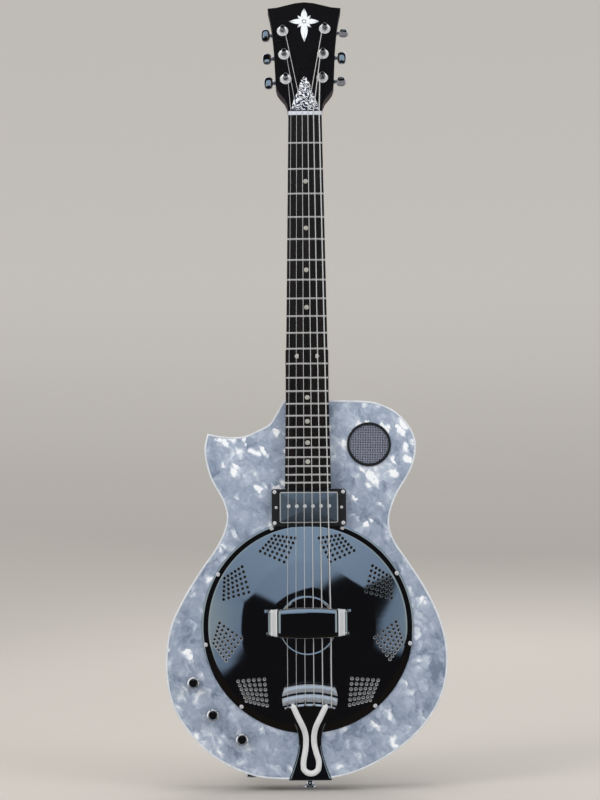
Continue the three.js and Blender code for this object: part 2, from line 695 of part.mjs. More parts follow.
add('pearloid_top', panelGeometry(TOP_Y, TOP_Y + PEARLOID), finish(0xb9c2d2, 0.18, 0));
add('top_board', panelGeometry(BOARD_FRONT_Y, BOARD_FRONT_Y + TOP_BOARD), bareWood());
add('body_rim', rimGeometry(), blackGloss());
add('back_board', slab(bodyOutline(), RIM_BACK_Y + GAP, BACK_Y), blackGloss());
add('neck_block', blockGeometry(BOLT_HEAD_Z, HEEL_Z, 34,
  NECK_BOLTS_Y.map((y) => boltPath(BOLT_R + GAP, y, 400, 500))), bareWood());
add('tail_block', blockGeometry(BASE, BASE + 48, 36,
  [turnedUpright(rod(2.3, 0, BASE + 34), [0, 0], 12)]), bareWood());
add('soundwell', soundwellGeometry(), bareWood());

add('cone', coneGeometry(), finish(0xc9ccd0, 0.3, 1));
add('biscuit', biscuitGeometry(), finish(0xc49a63, 0.55, 0));
add('saddle', saddleGeometry(), finish(0xd8b27c, 0.5, 0));
add('coverplate', coverplateGeometry(), chrome());
add('handrest', handrestGeometry(), chrome());
add('tailpiece', tailpieceGeometry(), chrome());
add('end_button', endButtonGeometry(), chrome());

add('neck', neckGeometry(), finish(0x2a1510, 0.25, 0));
add('fingerboard', fingerboardGeometry(), finish(0x1b1513, 0.45, 0));
add('nut', nutGeometry(), finish(0xe9e5d8, 0.35, 0));
add('truss_rod', rodGeometry(), finish(0x8d9095, 0.4, 1));
add('neck_bolt_front', neckBoltGeometry(NECK_BOLTS_Y[0]), finish(0x8d9095, 0.4, 1));
add('neck_bolt_back', neckBoltGeometry(NECK_BOLTS_Y[1]), finish(0x8d9095, 0.4, 1));
add('heel_button', heelButtonGeometry(), chrome());

add('pickup_ring', pickupRingGeometry(), finish(0x101012, 0.3, 0));
add('pickup', pickupGeometry(), chrome());
['volume', 'blend', 'tone'].forEach((name, i) => {
  add(`${name}_knob`, knobGeometry(KNOBS[i]), chrome());
  add(`${name}_pot`, potGeometry(KNOBS[i]), finish(0x9a9c98, 0.4, 1));
});
add('output_jack', jackGeometry(), chrome());
add('screen_bezel', screenBezelGeometry(), finish(0x151516, 0.35, 0));
add('screen_mesh', screenMeshGeometry(), finish(0x9da0a3, 0.35, 1));
GAUGES.forEach((_, i) => add(`string_${i + 1}`, stringGeometry(i), finish(0xc8c4ba, 0.3, 1)));

const headstock = new THREE.Group();
headstock.rotation.x = -HEAD_TILT;
headstock.position.set(0, HEAD_START[1], HEAD_START[0]);
part.add(headstock);
add('headstock_face', veneerGeometry(), blackGloss(), headstock);
add('rod_cover', rodCoverGeometry(), finish(0xdcdfe4, 0.2, 0), headstock);

POSTS.forEach(([x, s], i) => {
  const side = Math.sign(x);
  const tuner = new THREE.Group();
  tuner.position.set(x, 0, s);
  headstock.add(tuner);
  add(`tuner_housing_${i + 1}`, tunerHousingGeometry(side), chrome(), tuner);
  add(`tuner_post_${i + 1}`, tunerPostGeometry(), chrome(), tuner);
  const reach = BUTTON_REACH[side < 0 ? 0 : 1];
  const button = add(`tuner_button_${i + 1}`, tunerButtonGeometry(side, reach), chrome(), tuner);
  button.position.set(0, WORM_DEPTH, WORM_OFFSET);
  button.rotation.x = THREE.MathUtils.degToRad(BUTTON_TURNS[i]);
});

export default part;
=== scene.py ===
"""The looks of a left-handed resonator guitar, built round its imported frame.

Shapes are worked out in millimetres and stored in metres. The front faces -Y, +Z runs up the
neck and +X is the right-hand side as seen from the front.
"""
import math
import bmesh
import bpy
import numpy as np
from mathutils.geometry import delaunay_2d_cdt
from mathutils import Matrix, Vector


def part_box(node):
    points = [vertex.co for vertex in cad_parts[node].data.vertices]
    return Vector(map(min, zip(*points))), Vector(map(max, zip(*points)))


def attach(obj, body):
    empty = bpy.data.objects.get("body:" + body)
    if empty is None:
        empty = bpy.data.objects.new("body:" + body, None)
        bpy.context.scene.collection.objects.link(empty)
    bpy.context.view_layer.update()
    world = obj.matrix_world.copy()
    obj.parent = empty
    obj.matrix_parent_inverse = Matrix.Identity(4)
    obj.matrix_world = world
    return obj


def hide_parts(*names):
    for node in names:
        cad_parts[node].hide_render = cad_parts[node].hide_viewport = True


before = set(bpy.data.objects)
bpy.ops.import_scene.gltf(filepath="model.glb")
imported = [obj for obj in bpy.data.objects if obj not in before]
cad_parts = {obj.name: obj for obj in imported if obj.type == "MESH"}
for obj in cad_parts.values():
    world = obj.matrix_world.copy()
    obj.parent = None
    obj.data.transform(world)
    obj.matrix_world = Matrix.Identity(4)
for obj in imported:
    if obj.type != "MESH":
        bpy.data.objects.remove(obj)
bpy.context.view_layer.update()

GUITAR = "guitar"
TAU = 2 * math.pi


# ---- camera ------------------------------------------------------------------------------
# A portrait lens a little under two metres in front of the frets, at the height of the
# sound plate and tipped up so that the whole guitar fills the frame.
LENS_PLACE = np.array([-9.0, -1903.0, 327.0])
LENS_AIM = np.array([-9.0, -38.1, 478.3])
camera_data = bpy.data.cameras.new("camera")
camera_data.lens = 67.95
camera = bpy.data.objects.new("camera", camera_data)
bpy.context.scene.collection.objects.link(camera)
sight = LENS_AIM - LENS_PLACE
camera.location = LENS_PLACE / 1000
camera.rotation_euler = (math.atan2(sight[1], -sight[2]), 0, 0)
camera.rotation_euler.rotate_axis("Z", math.radians(-0.43))
bpy.context.scene.camera = camera


# ---- studio floor ------------------------------------------------------------------------
# A pale paper floor that curves up into a round wall far outside the guitar. Only the
# camera sees it, so the light of the studio passes through it.
class Socket:
    """A shader value that can be used in Python sums; each operator adds its Math node."""

    def __init__(self, finish, output):
        self.finish = finish
        self.output = output

    def _math(self, operation, *values):
        return self.finish.node("ShaderNodeMath", {"operation": operation}, dict(enumerate(values)))

    def __add__(self, other):
        return self._math("ADD", self, other)

    def __sub__(self, other):
        return self._math("SUBTRACT", self, other)

    def __rsub__(self, other):
        return self._math("SUBTRACT", other, self)

    def __mul__(self, other):
        return self._math("MULTIPLY", self, other)

    __radd__ = __add__
    __rmul__ = __mul__

    def power(self, exponent):
        return self._math("POWER", self, exponent)

    def size(self):
        return self._math("ABSOLUTE", self)

    def step(self, low, high):
        """0 below low, 1 above high and a smooth rise between."""
        settings = {"interpolation_type": "SMOOTHSTEP"}
        return self.finish.node("ShaderNodeMapRange", settings, {0: self, 1: low, 2: high})


class Finish:
    """A material, or the world, whose nodes are added one call at a time."""

    def __init__(self, name, world=False):
        self.material = (bpy.data.worlds if world else bpy.data.materials).new(name)
        self.material.use_nodes = True
        self.nodes = self.material.node_tree.nodes
        self.links = self.material.node_tree.links
        self.shader = self.nodes["Background" if world else "Principled BSDF"]

    def _feed(self, socket, value):
        if isinstance(value, Socket):
            self.links.new(value.output, socket)
        elif isinstance(value, (tuple, list)) and socket.type == "RGBA":
            socket.default_value = (*value[:3], 1.0)
        else:
            socket.default_value = value

    @staticmethod
    def _stops(ramp, stops):
        while len(ramp.elements) < len(stops):
            ramp.elements.new(0.5)
        for element, (place, color) in zip(ramp.elements, stops):
            element.position = place
            element.color = (*color, 1.0)

    def node(self, kind, settings=None, inputs=None, output=0):
        """Adds a node, sets it up, then feeds its sockets; a ramp's stops are a setting."""
        made = self.nodes.new(kind)
        for key, value in (settings or {}).items():
            if key == "stops":
                self._stops(made.color_ramp, value)
            else:
                setattr(made, key, value)
        for key, value in (inputs or {}).items():
            self._feed(made.inputs[key], value)
        return Socket(self, made.outputs[output])

    def place(self, scale=(1, 1, 1), turn=(0, 0, 0)):
        """Object coordinates in metres, turned and then stretched."""
        coordinates = self.node("ShaderNodeTexCoord", output="Object")
        values = {"Vector": coordinates, "Scale": scale, "Rotation": turn}
        return self.node("ShaderNodeMapping", None, values)

    def axis(self, name):
        """One of the object coordinates X, Y and Z, in metres."""
        return self.node("ShaderNodeSeparateXYZ", None, {0: self.place()}, name)

    def noise(self, vector, scale, detail=3.0, roughness=0.5, distortion=0.0, output="Fac"):
        values = {"Vector": vector, "Scale": scale, "Detail": detail,
                  "Roughness": roughness, "Distortion": distortion}
        return self.node("ShaderNodeTexNoise", None, values, output)

    def ramp(self, factor, *stops):
        return self.node("ShaderNodeValToRGB", {"stops": stops}, {"Fac": factor}, "Color")

    def mix(self, factor, first, second):
        inputs = {0: factor, 6: first, 7: second}
        return self.node("ShaderNodeMix", {"data_type": "RGBA"}, inputs, 2)

    def bump(self, height, distance, strength=1.0):
        values = {"Height": height, "Strength": strength, "Distance": distance}
        return self.set(Normal=self.node("ShaderNodeBump", None, values, "Normal"))

    def set(self, **values):
        """Sets or links the shader's sockets: Base_Color, Roughness and so on."""
        for key, value in values.items():
            self._feed(self.shader.inputs[key.replace("_", " ")], value)
        return self


def lofted(grid, closed=False, ends=None):
    """Rings of points joined in order by quads. Closed joins the last ring to the first;
    otherwise a fan of triangles closes each end, to its middle or to the given point."""
    rings, around = grid.shape[:2]
    here = np.arange(rings * around).reshape(rings, around)
    beside = np.roll(here, -1, axis=1)
    last = rings if closed else rings - 1
    above, beside_above = np.roll(here, -1, axis=0), np.roll(beside, -1, axis=0)
    quads = np.stack([here[:last], beside[:last], beside_above[:last], above[:last]], -1).reshape(-1, 4)
    points = grid.reshape(-1, 3)
    triangles = np.zeros((0, 3), int)
    if not closed:
        if ends is None:
            ends = [grid[0].mean(0), grid[-1].mean(0)]
        low, high = np.full(around, len(points)), np.full(around, len(points) + 1)
        triangles = np.vstack([np.stack([low, beside[0], here[0]], -1),
                               np.stack([high, here[-1], beside[-1]], -1)])
        points = np.vstack([points, ends])
    return outward((points, quads, triangles))


def outward(form):
    """The form with its faces turned to point out, by the sign of its volume: the sum of
    a . (b x c) over triangles, where a quad counts as two."""
    points, quads, triangles = form
    corners = np.vstack([quads[:, [0, 1, 2]], quads[:, [0, 2, 3]], triangles])
    a, b, c = points[corners[:, 0]], points[corners[:, 1]], points[corners[:, 2]]
    if np.sum(a * np.cross(b, c)) < 0:
        return points, quads[:, ::-1], triangles[:, ::-1]
    return form


def together(*forms):
    """Several forms as one, with each form's corner numbers moved past those before it."""
    starts = np.cumsum([0] + [len(form[0]) for form in forms])
    return (np.vstack([form[0] for form in forms]),
            np.vstack([form[1] + start for form, start in zip(forms, starts)]),
            np.vstack([form[2] + start for form, start in zip(forms, starts)]))


AXES = {"x": (1, 2, 0), "y": (0, 2, 1), "z": (0, 1, 2)}


def turned(profile, place, axis="y", segments=48, closed=False):
    """A profile of radius and distance along an axis, carried round that axis through a
    place. An open profile starts and ends on the axis."""
    profile = np.asarray(profile, float)
    first, second, along = AXES[axis]
    turn = np.arange(segments) * TAU / segments
    body = profile if closed else profile[1:-1]
    grid = np.zeros((len(body), segments, 3))
    grid[..., first] = body[:, :1] * np.cos(turn)
    grid[..., second] = body[:, :1] * np.sin(turn)
    grid[..., along] = body[:, 1:]
    grid += np.asarray(place, float)
    if closed:
        return lofted(grid, closed=True)
    ends = np.tile(np.asarray(place, float), (2, 1))
    ends[:, along] += profile[[0, -1], 1]
    return lofted(grid, ends=ends)


def softened(line, radius, steps=4, closed=False):
    """A line of points with each corner cut back by a radius, or by less than half of a
    short side, and filled with the curve (1-t)^2 A + 2t(1-t) P + t^2 B."""
    line = np.asarray(line, float)
    corner = line if closed else line[1:-1]
    before = np.roll(line, 1, 0) if closed else line[:-2]
    after = np.roll(line, -1, 0) if closed else line[2:]
    reach_in = np.linalg.norm(before - corner, axis=1, keepdims=True)
    reach_out = np.linalg.norm(after - corner, axis=1, keepdims=True)
    start = corner + (before - corner) * np.minimum(radius / reach_in, 0.45)
    stop = corner + (after - corner) * np.minimum(radius / reach_out, 0.45)
    t = np.linspace(0, 1, steps + 1)[None, :, None]
    curve = (1 - t) ** 2 * start[:, None] + 2 * t * (1 - t) * corner[:, None] + t ** 2 * stop[:, None]
    curve = curve.reshape(-1, line.shape[1])
    return curve if closed else np.vstack([line[:1], curve, line[-1:]])


def shaped(name, form, finish, sharp=35):
    """An object at the origin from a form in millimetres, smooth except at sharp edges."""
    points, quads, triangles = form
    mesh = bpy.data.meshes.new(name)
    mesh.from_pydata(points / 1000, [], quads.tolist() + triangles.tolist())
    mesh.polygons.foreach_set("use_smooth", np.ones(len(mesh.polygons), bool))
    mesh.set_sharp_from_angle(angle=math.radians(sharp))
    mesh.materials.append(finish.material)
    thing = bpy.data.objects.new(name, mesh)
    bpy.context.scene.collection.objects.link(thing)
    return thing


paper = Finish("pale_paper")
up_wall = paper.axis("Z").step(-0.2, 1.6)
paper.set(Base_Color=paper.mix(up_wall, (0.47, 0.445, 0.415), (0.70, 0.675, 0.64)), Roughness=0.9)
ROOM_R = 6500.0
BEND_R = 4200.0
FLOOR_Z = -0.6
CEILING_Z = 7000.0
bend = np.linspace(0, math.pi / 2, 20)
room_profile = np.vstack([
    [[0, FLOOR_Z], [ROOM_R - BEND_R, FLOOR_Z]],
    np.stack([ROOM_R - BEND_R * (1 - np.sin(bend)), BEND_R * (1 - np.cos(bend)) + FLOOR_Z], 1),
    [[ROOM_R, CEILING_Z], [0, CEILING_Z]],
])
studio_floor = shaped("studio_floor", turned(room_profile, (0, 0, 0), "z", 96), paper)
studio_floor.data.flip_normals()
studio_floor.visible_diffuse = False
studio_floor.visible_glossy = False
studio_floor.visible_shadow = False


# ---- studio light ------------------------------------------------------------------------
# Soft boxes at both sides, above and behind light the guitar. The plated metal mirrors a pale
# blue wall in front with a dark stand and a dark floor, black cloth round it and pale paper
# behind the guitar.
def soft_box(name, place, target, size, power, color):
    """A rectangular area light at a place in metres, facing its target."""
    data = bpy.data.lights.new(name, "AREA")
    data.shape = "RECTANGLE"
    data.size, data.size_y = size
    data.energy = power
    data.color = color
    lamp = bpy.data.objects.new(name, data)
    bpy.context.scene.collection.objects.link(lamp)
    lamp.location = place
    beam = np.array(target) - np.array(place)
    lamp.rotation_euler = (math.atan2(math.hypot(beam[0], beam[1]), -beam[2]), 0,
                           math.atan2(-beam[0], beam[1]))
    lamp.visible_glossy = False
    return lamp


soft_box("left_box", (-2.1, -1.7, 2.2), (0, 0, 0.35), (1.2, 1.2), 40, (1.0, 0.98, 0.95))
soft_box("right_box", (2.4, -1.6, 1.7), (0, 0, 0.4), (1.2, 1.5), 28, (0.94, 0.97, 1.0))
soft_box("top_box", (0.0, -0.2, 2.8), (0, 0.0, 0.5), (1.8, 0.9), 20, (1.0, 0.98, 0.95))
soft_box("back_box", (0.5, 2.6, 1.9), (0, 0, 0.45), (1.6, 1.4), 30, (1.0, 0.98, 0.95))

studio = Finish("studio_air", world=True)
ray = studio.node("ShaderNodeTexCoord", output="Generated")
parts = studio.node("ShaderNodeSeparateXYZ", None, {0: ray})
to_side, to_back, up = (Socket(studio, parts.output.node.outputs[axis]) for axis in "XYZ")
ripple = studio.noise(ray, 7.0, 4.0) - 0.5
on_right = to_side.step(-0.02, 0.02)
aside = to_side.size() + ripple * 0.05 - on_right * 0.015
level = up + ripple * 0.05 - on_right * 0.035
above_stand = level.step(-0.008, 0.004)
above_floor = level.step(-0.165, -0.145)
beside_stand = aside.step(0.155, 0.163)
open_wall = above_stand + beside_stand * above_floor - above_stand * beside_stand * above_floor
in_front = (0 - to_back).step(0.80, 0.82)
behind = to_back.step(-0.25, 0.1)
wall = studio.mix(up.step(-0.10, 0.26), (0.115, 0.160, 0.225), (0.225, 0.305, 0.405))
wall = studio.mix(aside.step(0.165, 0.205), wall, (0.26, 0.31, 0.32))
floor_glow = studio.mix(level.step(-0.42, -0.22), (0.008, 0.0065, 0.0055), (0.005, 0.005, 0.006))
mirrored = studio.mix(open_wall * in_front, floor_glow, wall)
paper_seen = studio.mix(up.step(-0.75, 0.15), (0.20, 0.20, 0.21), (0.84, 0.86, 0.90))
paper_seen = studio.mix(to_back.step(0.60, 0.92), paper_seen, (0.10, 0.10, 0.11))
mirrored = studio.mix(behind, mirrored, paper_seen)
glossy = studio.node("ShaderNodeLightPath", output="Is Glossy Ray")
studio.set(Color=studio.mix(glossy, (0.70, 0.69, 0.68), mirrored), Strength=1.0)
bpy.context.scene.world = studio.material
bpy.context.scene.view_settings.view_transform = "Standard"


# ---- body sides, back and binding ----------------------------------------------------------
# The sides are thin wood bent to the cutaway outline and the back is a flat board with its
# edge rounded over. Both are black lacquer, rubbed to a gloss.
def box_mm(node):
    """A node's lowest and highest corners in millimetres."""
    return np.array([list(corner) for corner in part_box(node)]) * 1000


def node_points(node):
    """All corners of a node's mesh in millimetres."""
    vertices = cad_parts[node].data.vertices
    flat = np.zeros(3 * len(vertices))
    vertices.foreach_get("co", flat)
    return flat.reshape(-1, 3) * 1000


PLATE_BOX = box_mm("coverplate")
PLATE_R = (PLATE_BOX[1, 0] - PLATE_BOX[0, 0]) / 2
PLATE_X = PLATE_BOX[:, 0].mean()
PLATE_Z = PLATE_BOX[0, 2] + PLATE_R
TOP_Y = box_mm("pearloid_top")[0, 1]
RIM_FRONT, RIM_BACK = box_mm("body_rim")[:, 1]
BACK_Y = box_mm("back_board")[1, 1]


def frame_outline(node):
    """The x and z of a node's back face, put in order by angle round the plate's middle."""
    points = node_points(node)
    face = points[points[:, 1] > points[:, 1].max() - 0.01][:, [0, 2]]
    face = np.unique(np.round(face, 3), axis=0)
    return face[np.argsort(np.arctan2(face[:, 1] - PLATE_Z, face[:, 0] - PLATE_X))]


def hermite(start, stop, leave, arrive, t):
    """The cubic between two points with a slope at each: (2t^3 - 3t^2 + 1) A
    + (t^3 - 2t^2 + t) a + (3t^2 - 2t^3) B + (t^3 - t^2) b."""
    return ((2 * t**3 - 3 * t**2 + 1) * start + (t**3 - 2 * t**2 + t) * leave
            + (3 * t**2 - 2 * t**3) * stop + (t**3 - t**2) * arrive)


def curved(points, steps, corner=25):
    """A closed Hermite curve through points, whose slope at a point is half the way from
    its neighbour to its neighbour; a corner sharper than the given angle stays sharp."""
    into, out = points - np.roll(points, 1, 0), np.roll(points, -1, 0) - points
    turn = np.degrees(np.arccos(np.clip(
        np.sum(into * out, 1) / np.linalg.norm(into, axis=1) / np.linalg.norm(out, axis=1), -1, 1)))
    sharp = (turn > corner)[:, None]
    middle = (into + out) / 2
    leave, arrive = np.where(sharp, out, middle), np.roll(np.where(sharp, into, middle), -1, 0)
    t = (np.arange(steps) / steps)[None, :, None]
    start, stop = points[:, None], np.roll(points, -1, 0)[:, None]
    return hermite(start, stop, leave[:, None], arrive[:, None], t).reshape(-1, 2)


def inner_normals(outline):
    """Unit normals into a closed outline: the slope at each point, turned a quarter."""
    slope = np.roll(outline, -1, 0) - np.roll(outline, 1, 0)
    normal = np.stack([-slope[:, 1], slope[:, 0]], 1)
    return normal / np.linalg.norm(slope, axis=1, keepdims=True)


def inset(outline, distance):
    """The outline moved in along its normals. Points that land nearer to the outline than
    the distance have crossed over at a corner; the rest give the inset's radius by angle
    about the plate's middle, read back at every angle."""
    moved = outline + inner_normals(outline) * distance
    if distance <= 0:
        return moved
    nearest = np.min(np.linalg.norm(moved[:, None] - outline[None], axis=2), axis=1)
    from_middle = moved[nearest > 0.96 * distance] - (PLATE_X, PLATE_Z)
    angle = np.arctan2(from_middle[:, 1], from_middle[:, 0])
    order = np.argsort(angle)
    wanted = np.arctan2(outline[:, 1] - PLATE_Z, outline[:, 0] - PLATE_X)
    radius = np.interp(wanted, angle[order], np.linalg.norm(from_middle, axis=1)[order], period=TAU)
    return np.stack([PLATE_X + radius * np.cos(wanted), PLATE_Z + radius * np.sin(wanted)], 1)


def carried(outline, profile, move=inset):
    """A profile of inset and depth carried round an outline, as a grid of rings."""
    return np.stack([np.insert(move(outline, d), 1, y, axis=1) for d, y in profile])


OUTLINE = curved(frame_outline("back_board"), 5)
LACQUER_OUT = -0.15          # lacquer stands this far proud of the wood


def lacquer(name, tint=(0.006, 0.006, 0.007)):
    """Black lacquer: a deep gloss with faint dust and polishing marks."""
    finish = Finish(name)
    dust = finish.noise(finish.place(), 900, 2.0)
    haze = finish.noise(finish.place(), 14, 4.0)
    finish.bump(finish.noise(finish.place(), 60, 2.0), 0.00006)
    return finish.set(
        Base_Color=finish.mix(dust.step(0.66, 0.76) * 0.35, tint, (0.10, 0.10, 0.11)),
        Roughness=haze.step(0.3, 0.8) * 0.10 + 0.10, Coat_Weight=1.0, Coat_Roughness=0.04)


def add_piece(name, form, finish, stands_for=(), body=GUITAR, sharp=35):
    """A shaped object that rides on a body, in place of the nodes it stands for."""
    thing = shaped(name, form, finish, sharp)
    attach(thing, body)
    if stands_for:
        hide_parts(*stands_for)
    return thing


black_lacquer = lacquer("black_lacquer")
SIDE_THICK = 5.0
under_strip = LACQUER_OUT + 0.1
side_profile = [(LACQUER_OUT, RIM_FRONT - 3.1), (LACQUER_OUT, RIM_BACK + 0.25),
                (SIDE_THICK, RIM_BACK + 0.25), (SIDE_THICK, RIM_FRONT - 0.2),
                (under_strip, RIM_FRONT - 0.2), (under_strip, RIM_FRONT - 3.1)]
add_piece("body_sides", lofted(carried(OUTLINE, np.array(side_profile)), closed=True),
          black_lacquer, ("body_rim",))

ROUNDOVER = 3.0
quarter = np.linspace(0, math.pi / 2, 8)
back_edge = np.stack([ROUNDOVER * (1 - np.sin(quarter)), BACK_Y - ROUNDOVER * (1 - np.cos(quarter))], 1)
inner_face = RIM_BACK + 0.35
back_profile = np.vstack([[[6, BACK_Y]], back_edge, [[0, inner_face], [6, inner_face]]])
back_middle = [[PLATE_X, BACK_Y, PLATE_Z], [PLATE_X, inner_face, PLATE_Z]]
add_piece("back_panel", lofted(carried(OUTLINE, back_profile), ends=back_middle),
          black_lacquer, ("back_board",))


# ---- pearloid top and its edge -------------------------------------------------------------
# A one-millimetre sheet of pearl plastic covers the top up to the sound well. A pale strip
# with its front corner rounded over binds the edge all the way round.
def stirred(finish, place, scale, detail, roughness, reach):
    """Coordinates pushed about by the colour of a noise: p + reach * noise(p)."""
    swirl = finish.noise(place, scale, detail, roughness, output="Color")
    shift = finish.node("ShaderNodeVectorMath", {"operation": "SCALE"}, {0: swirl, "Scale": reach})
    return finish.node("ShaderNodeVectorMath", {"operation": "ADD"}, {0: place, 1: shift})


def pearloid():
    """Pearl plastic: cloudy slate-blue sheet with bent flakes set in it, under a clear gloss.
    Each flake is a cell of its own brightness; brighter flakes carry a painted sheen, brightest
    at the cell's middle, which grows towards the neck end, where the sheet is painted lighter too."""
    finish = Finish("pearloid_sheet")
    bent = stirred(finish, finish.place(turn=(0, 0.6, 0)), 34, 3.0, 0.6, 0.036)
    flat_bent = finish.node("ShaderNodeMapping", None, {"Vector": bent, "Scale": (1.0, 1.0, 0.70)})
    cells = finish.node("ShaderNodeTexVoronoi", {"feature": "F1"},
                        {"Vector": flat_bent, "Scale": 86}, "Color")
    flake = finish.node("ShaderNodeSeparateColor", None, {0: cells})
    from_middle = Socket(finish, cells.output.node.outputs["Distance"])
    cloud = finish.noise(bent, 24, 4.0, 0.62, 0.5)
    silk = finish.noise(flat_bent, 95, 2.0, 0.5, 1.0)
    # Painted light: the flakes' bright middles are a painted sheen. The sheen is stronger, and the sheet's
    # tone a little lighter, towards the neck end.
    painted_light_up = finish.axis("Z").step(0.12, 0.42)
    glint = flake.step(0.42, 0.98) * (1 - from_middle.step(0.10, 0.66))
    light = (cloud * 0.56 + silk * 0.34 + flake * 0.10 + glint * (painted_light_up * 0.22 + 0.17)
             + painted_light_up * 0.03)
    color = finish.ramp(light, (0.38, (0.185, 0.230, 0.315)), (0.46, (0.285, 0.340, 0.440)),
                        (0.54, (0.350, 0.405, 0.510)), (0.64, (0.50, 0.56, 0.66)),
                        (0.76, (0.93, 0.95, 0.98)))
    finish.bump(cloud, 0.00008)
    return finish.set(Base_Color=color, Roughness=0.16, Coat_Weight=1.0, Coat_Roughness=0.05)


pearl_sheet = pearloid()
WELL_R = 120.6
BINDING = 2.3                # width of the pale strip
PEARL_BACK = TOP_Y + 1.0
strip_profile = softened([(LACQUER_OUT, PEARL_BACK + 0.2), (LACQUER_OUT, TOP_Y), (BINDING, TOP_Y),
                          (BINDING, PEARL_BACK + 0.2)], 0.9, 5)
binding_finish = Finish("white_binding")
binding_tone = binding_finish.noise(binding_finish.place(), 55, 3.0, 0.6, 1.0)
binding_color = binding_finish.ramp(binding_tone, (0.3, (0.58, 0.62, 0.67)), (0.7, (0.76, 0.79, 0.83)))
binding_finish.set(Base_Color=binding_color, Roughness=0.2, Coat_Weight=1.0)
add_piece("edge_binding", lofted(carried(OUTLINE, strip_profile), closed=True), binding_finish)


def well_ring(outline, rows, y):
    """Rings that pass from an outline to the sound well's circle in even steps, where each
    point goes straight to the circle's point at its own angle."""
    angle = np.arctan2(outline[:, 1] - PLATE_Z, outline[:, 0] - PLATE_X)
    circle = np.stack([PLATE_X + WELL_R * np.cos(angle), PLATE_Z + WELL_R * np.sin(angle)], 1)
    part = np.linspace(0, 1, rows)[:, None, None]
    return np.insert((1 - part) * outline + part * circle, 1, y, axis=2)


sheet_edge = inset(OUTLINE, BINDING + 0.05)
sheet = np.vstack([well_ring(sheet_edge, 5, TOP_Y), well_ring(sheet_edge, 5, PEARL_BACK)[::-1]])


def rounded_box(half_x, half_z, radius, place, steps=8):
    """A rectangle with round corners as x and z: a quarter circle about each corner."""
    turn = np.linspace(0, math.pi / 2, steps)
    quarters = [np.stack([np.cos(turn + k * math.pi / 2), np.sin(turn + k * math.pi / 2)], 1) * radius
                for k in range(4)]
    corners = np.array([(1, 1), (-1, 1), (-1, -1), (1, -1)]) * (half_x - radius, half_z - radius)
    return np.vstack([quarter + corner for quarter, corner in zip(quarters, corners)]) + place


def bored(name, form, cutters, finish, stands_for, sharp):
    """A piece with other closed forms cut out of it."""
    piece = add_piece(name, form, finish, stands_for, sharp=sharp)
    tool = shaped(name + "_cutter", together(*cutters), finish)
    boolean = piece.modifiers.new("cut", "BOOLEAN")
    boolean.operation = "DIFFERENCE"
    boolean.solver = "EXACT"
    boolean.use_self = True
    boolean.object = tool
    evaluated = piece.evaluated_get(bpy.context.evaluated_depsgraph_get())
    cut_mesh = bpy.data.meshes.new_from_object(evaluated)
    piece.modifiers.clear()
    piece.data = cut_mesh
    bpy.data.objects.remove(tool)
    cut_mesh.set_sharp_from_angle(angle=math.radians(sharp))
    return piece


def cut_bar(low, high):
    """A plain box between two corners, for cutting."""
    x, y, z = zip(low, high)
    ring = np.array([(x[0], y[0]), (x[1], y[0]), (x[1], y[1]), (x[0], y[1])])
    return lofted(np.stack([np.insert(ring, 2, at, axis=1) for at in z]))


CUT_PAST = 5.0               # how far a cutter reaches past the sheet
KNOBS = ("volume", "blend", "tone")


def rod(radius, low, high):
    """The profile of a plain round rod between two places on its axis."""
    return [(0, low), (radius, low), (radius, high), (0, high)]


def plug(radius, node):
    """A short cylinder through the sheet at the middle of a node, for boring its hole."""
    low, high = box_mm(node)
    return turned(rod(radius, TOP_Y - CUT_PAST, TOP_Y + CUT_PAST),
                  ((low[0] + high[0]) / 2, 0, (low[2] + high[2]) / 2), "y", 64)


COVER_BOX = box_mm("pickup")
cover_middle = COVER_BOX[:, [0, 2]].mean(0)
cover_half = (COVER_BOX[1] - COVER_BOX[0])[[0, 2]] / 2
pickup_gap = rounded_box(*(cover_half + 1.0), 2.0, cover_middle)
pickup_cutter = lofted(np.stack([np.insert(pickup_gap, 1, y, axis=1)
                                 for y in (TOP_Y - CUT_PAST, TOP_Y + CUT_PAST)]))
mesh_box = box_mm("screen_mesh")
sheet_cutters = [plug((mesh_box[1, 0] - mesh_box[0, 0]) / 2, "screen_mesh"), pickup_cutter,
                 *(plug(4.0, f"{name}_knob") for name in KNOBS)]
bored("pearl_sheet", lofted(sheet, closed=True), sheet_cutters, pearl_sheet,
      ("pearloid_top",), 35)


# ---- inner woodwork ------------------------------------------------------------------------
# The plywood top board, the blocks that take the neck and the end button, and the glued ring
# that carries the cone stay bare wood inside the body.
def bare_wood(name, light, dark, turn=(0, 0, 0)):
    """Planed wood: long fibres from stretched noise, with wider growth bands under them."""
    finish = Finish(name)
    place = finish.place((60, 60, 3.2), turn)
    fibre = finish.noise(place, 14, 5.0, 0.7)
    band = finish.noise(finish.place((22, 22, 1.4), turn), 2.2, 3.0, 0.5, 1.2)
    finish.bump(fibre, 0.00015)
    return finish.set(Base_Color=finish.mix(band.step(0.3, 0.7) * 0.6 + fibre * 0.4, light, dark),
                      Roughness=fibre * 0.2 + 0.45)


def finished(finish, *nodes):
    """Gives a finish to frame nodes that keep their own shape."""
    for node in nodes:
        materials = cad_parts[node].data.materials
        materials.clear()
        materials.append(finish.material)


birch = bare_wood("birch_ply", (0.56, 0.40, 0.24), (0.36, 0.22, 0.11))
finished(birch, "top_board", "neck_block", "tail_block", "soundwell")


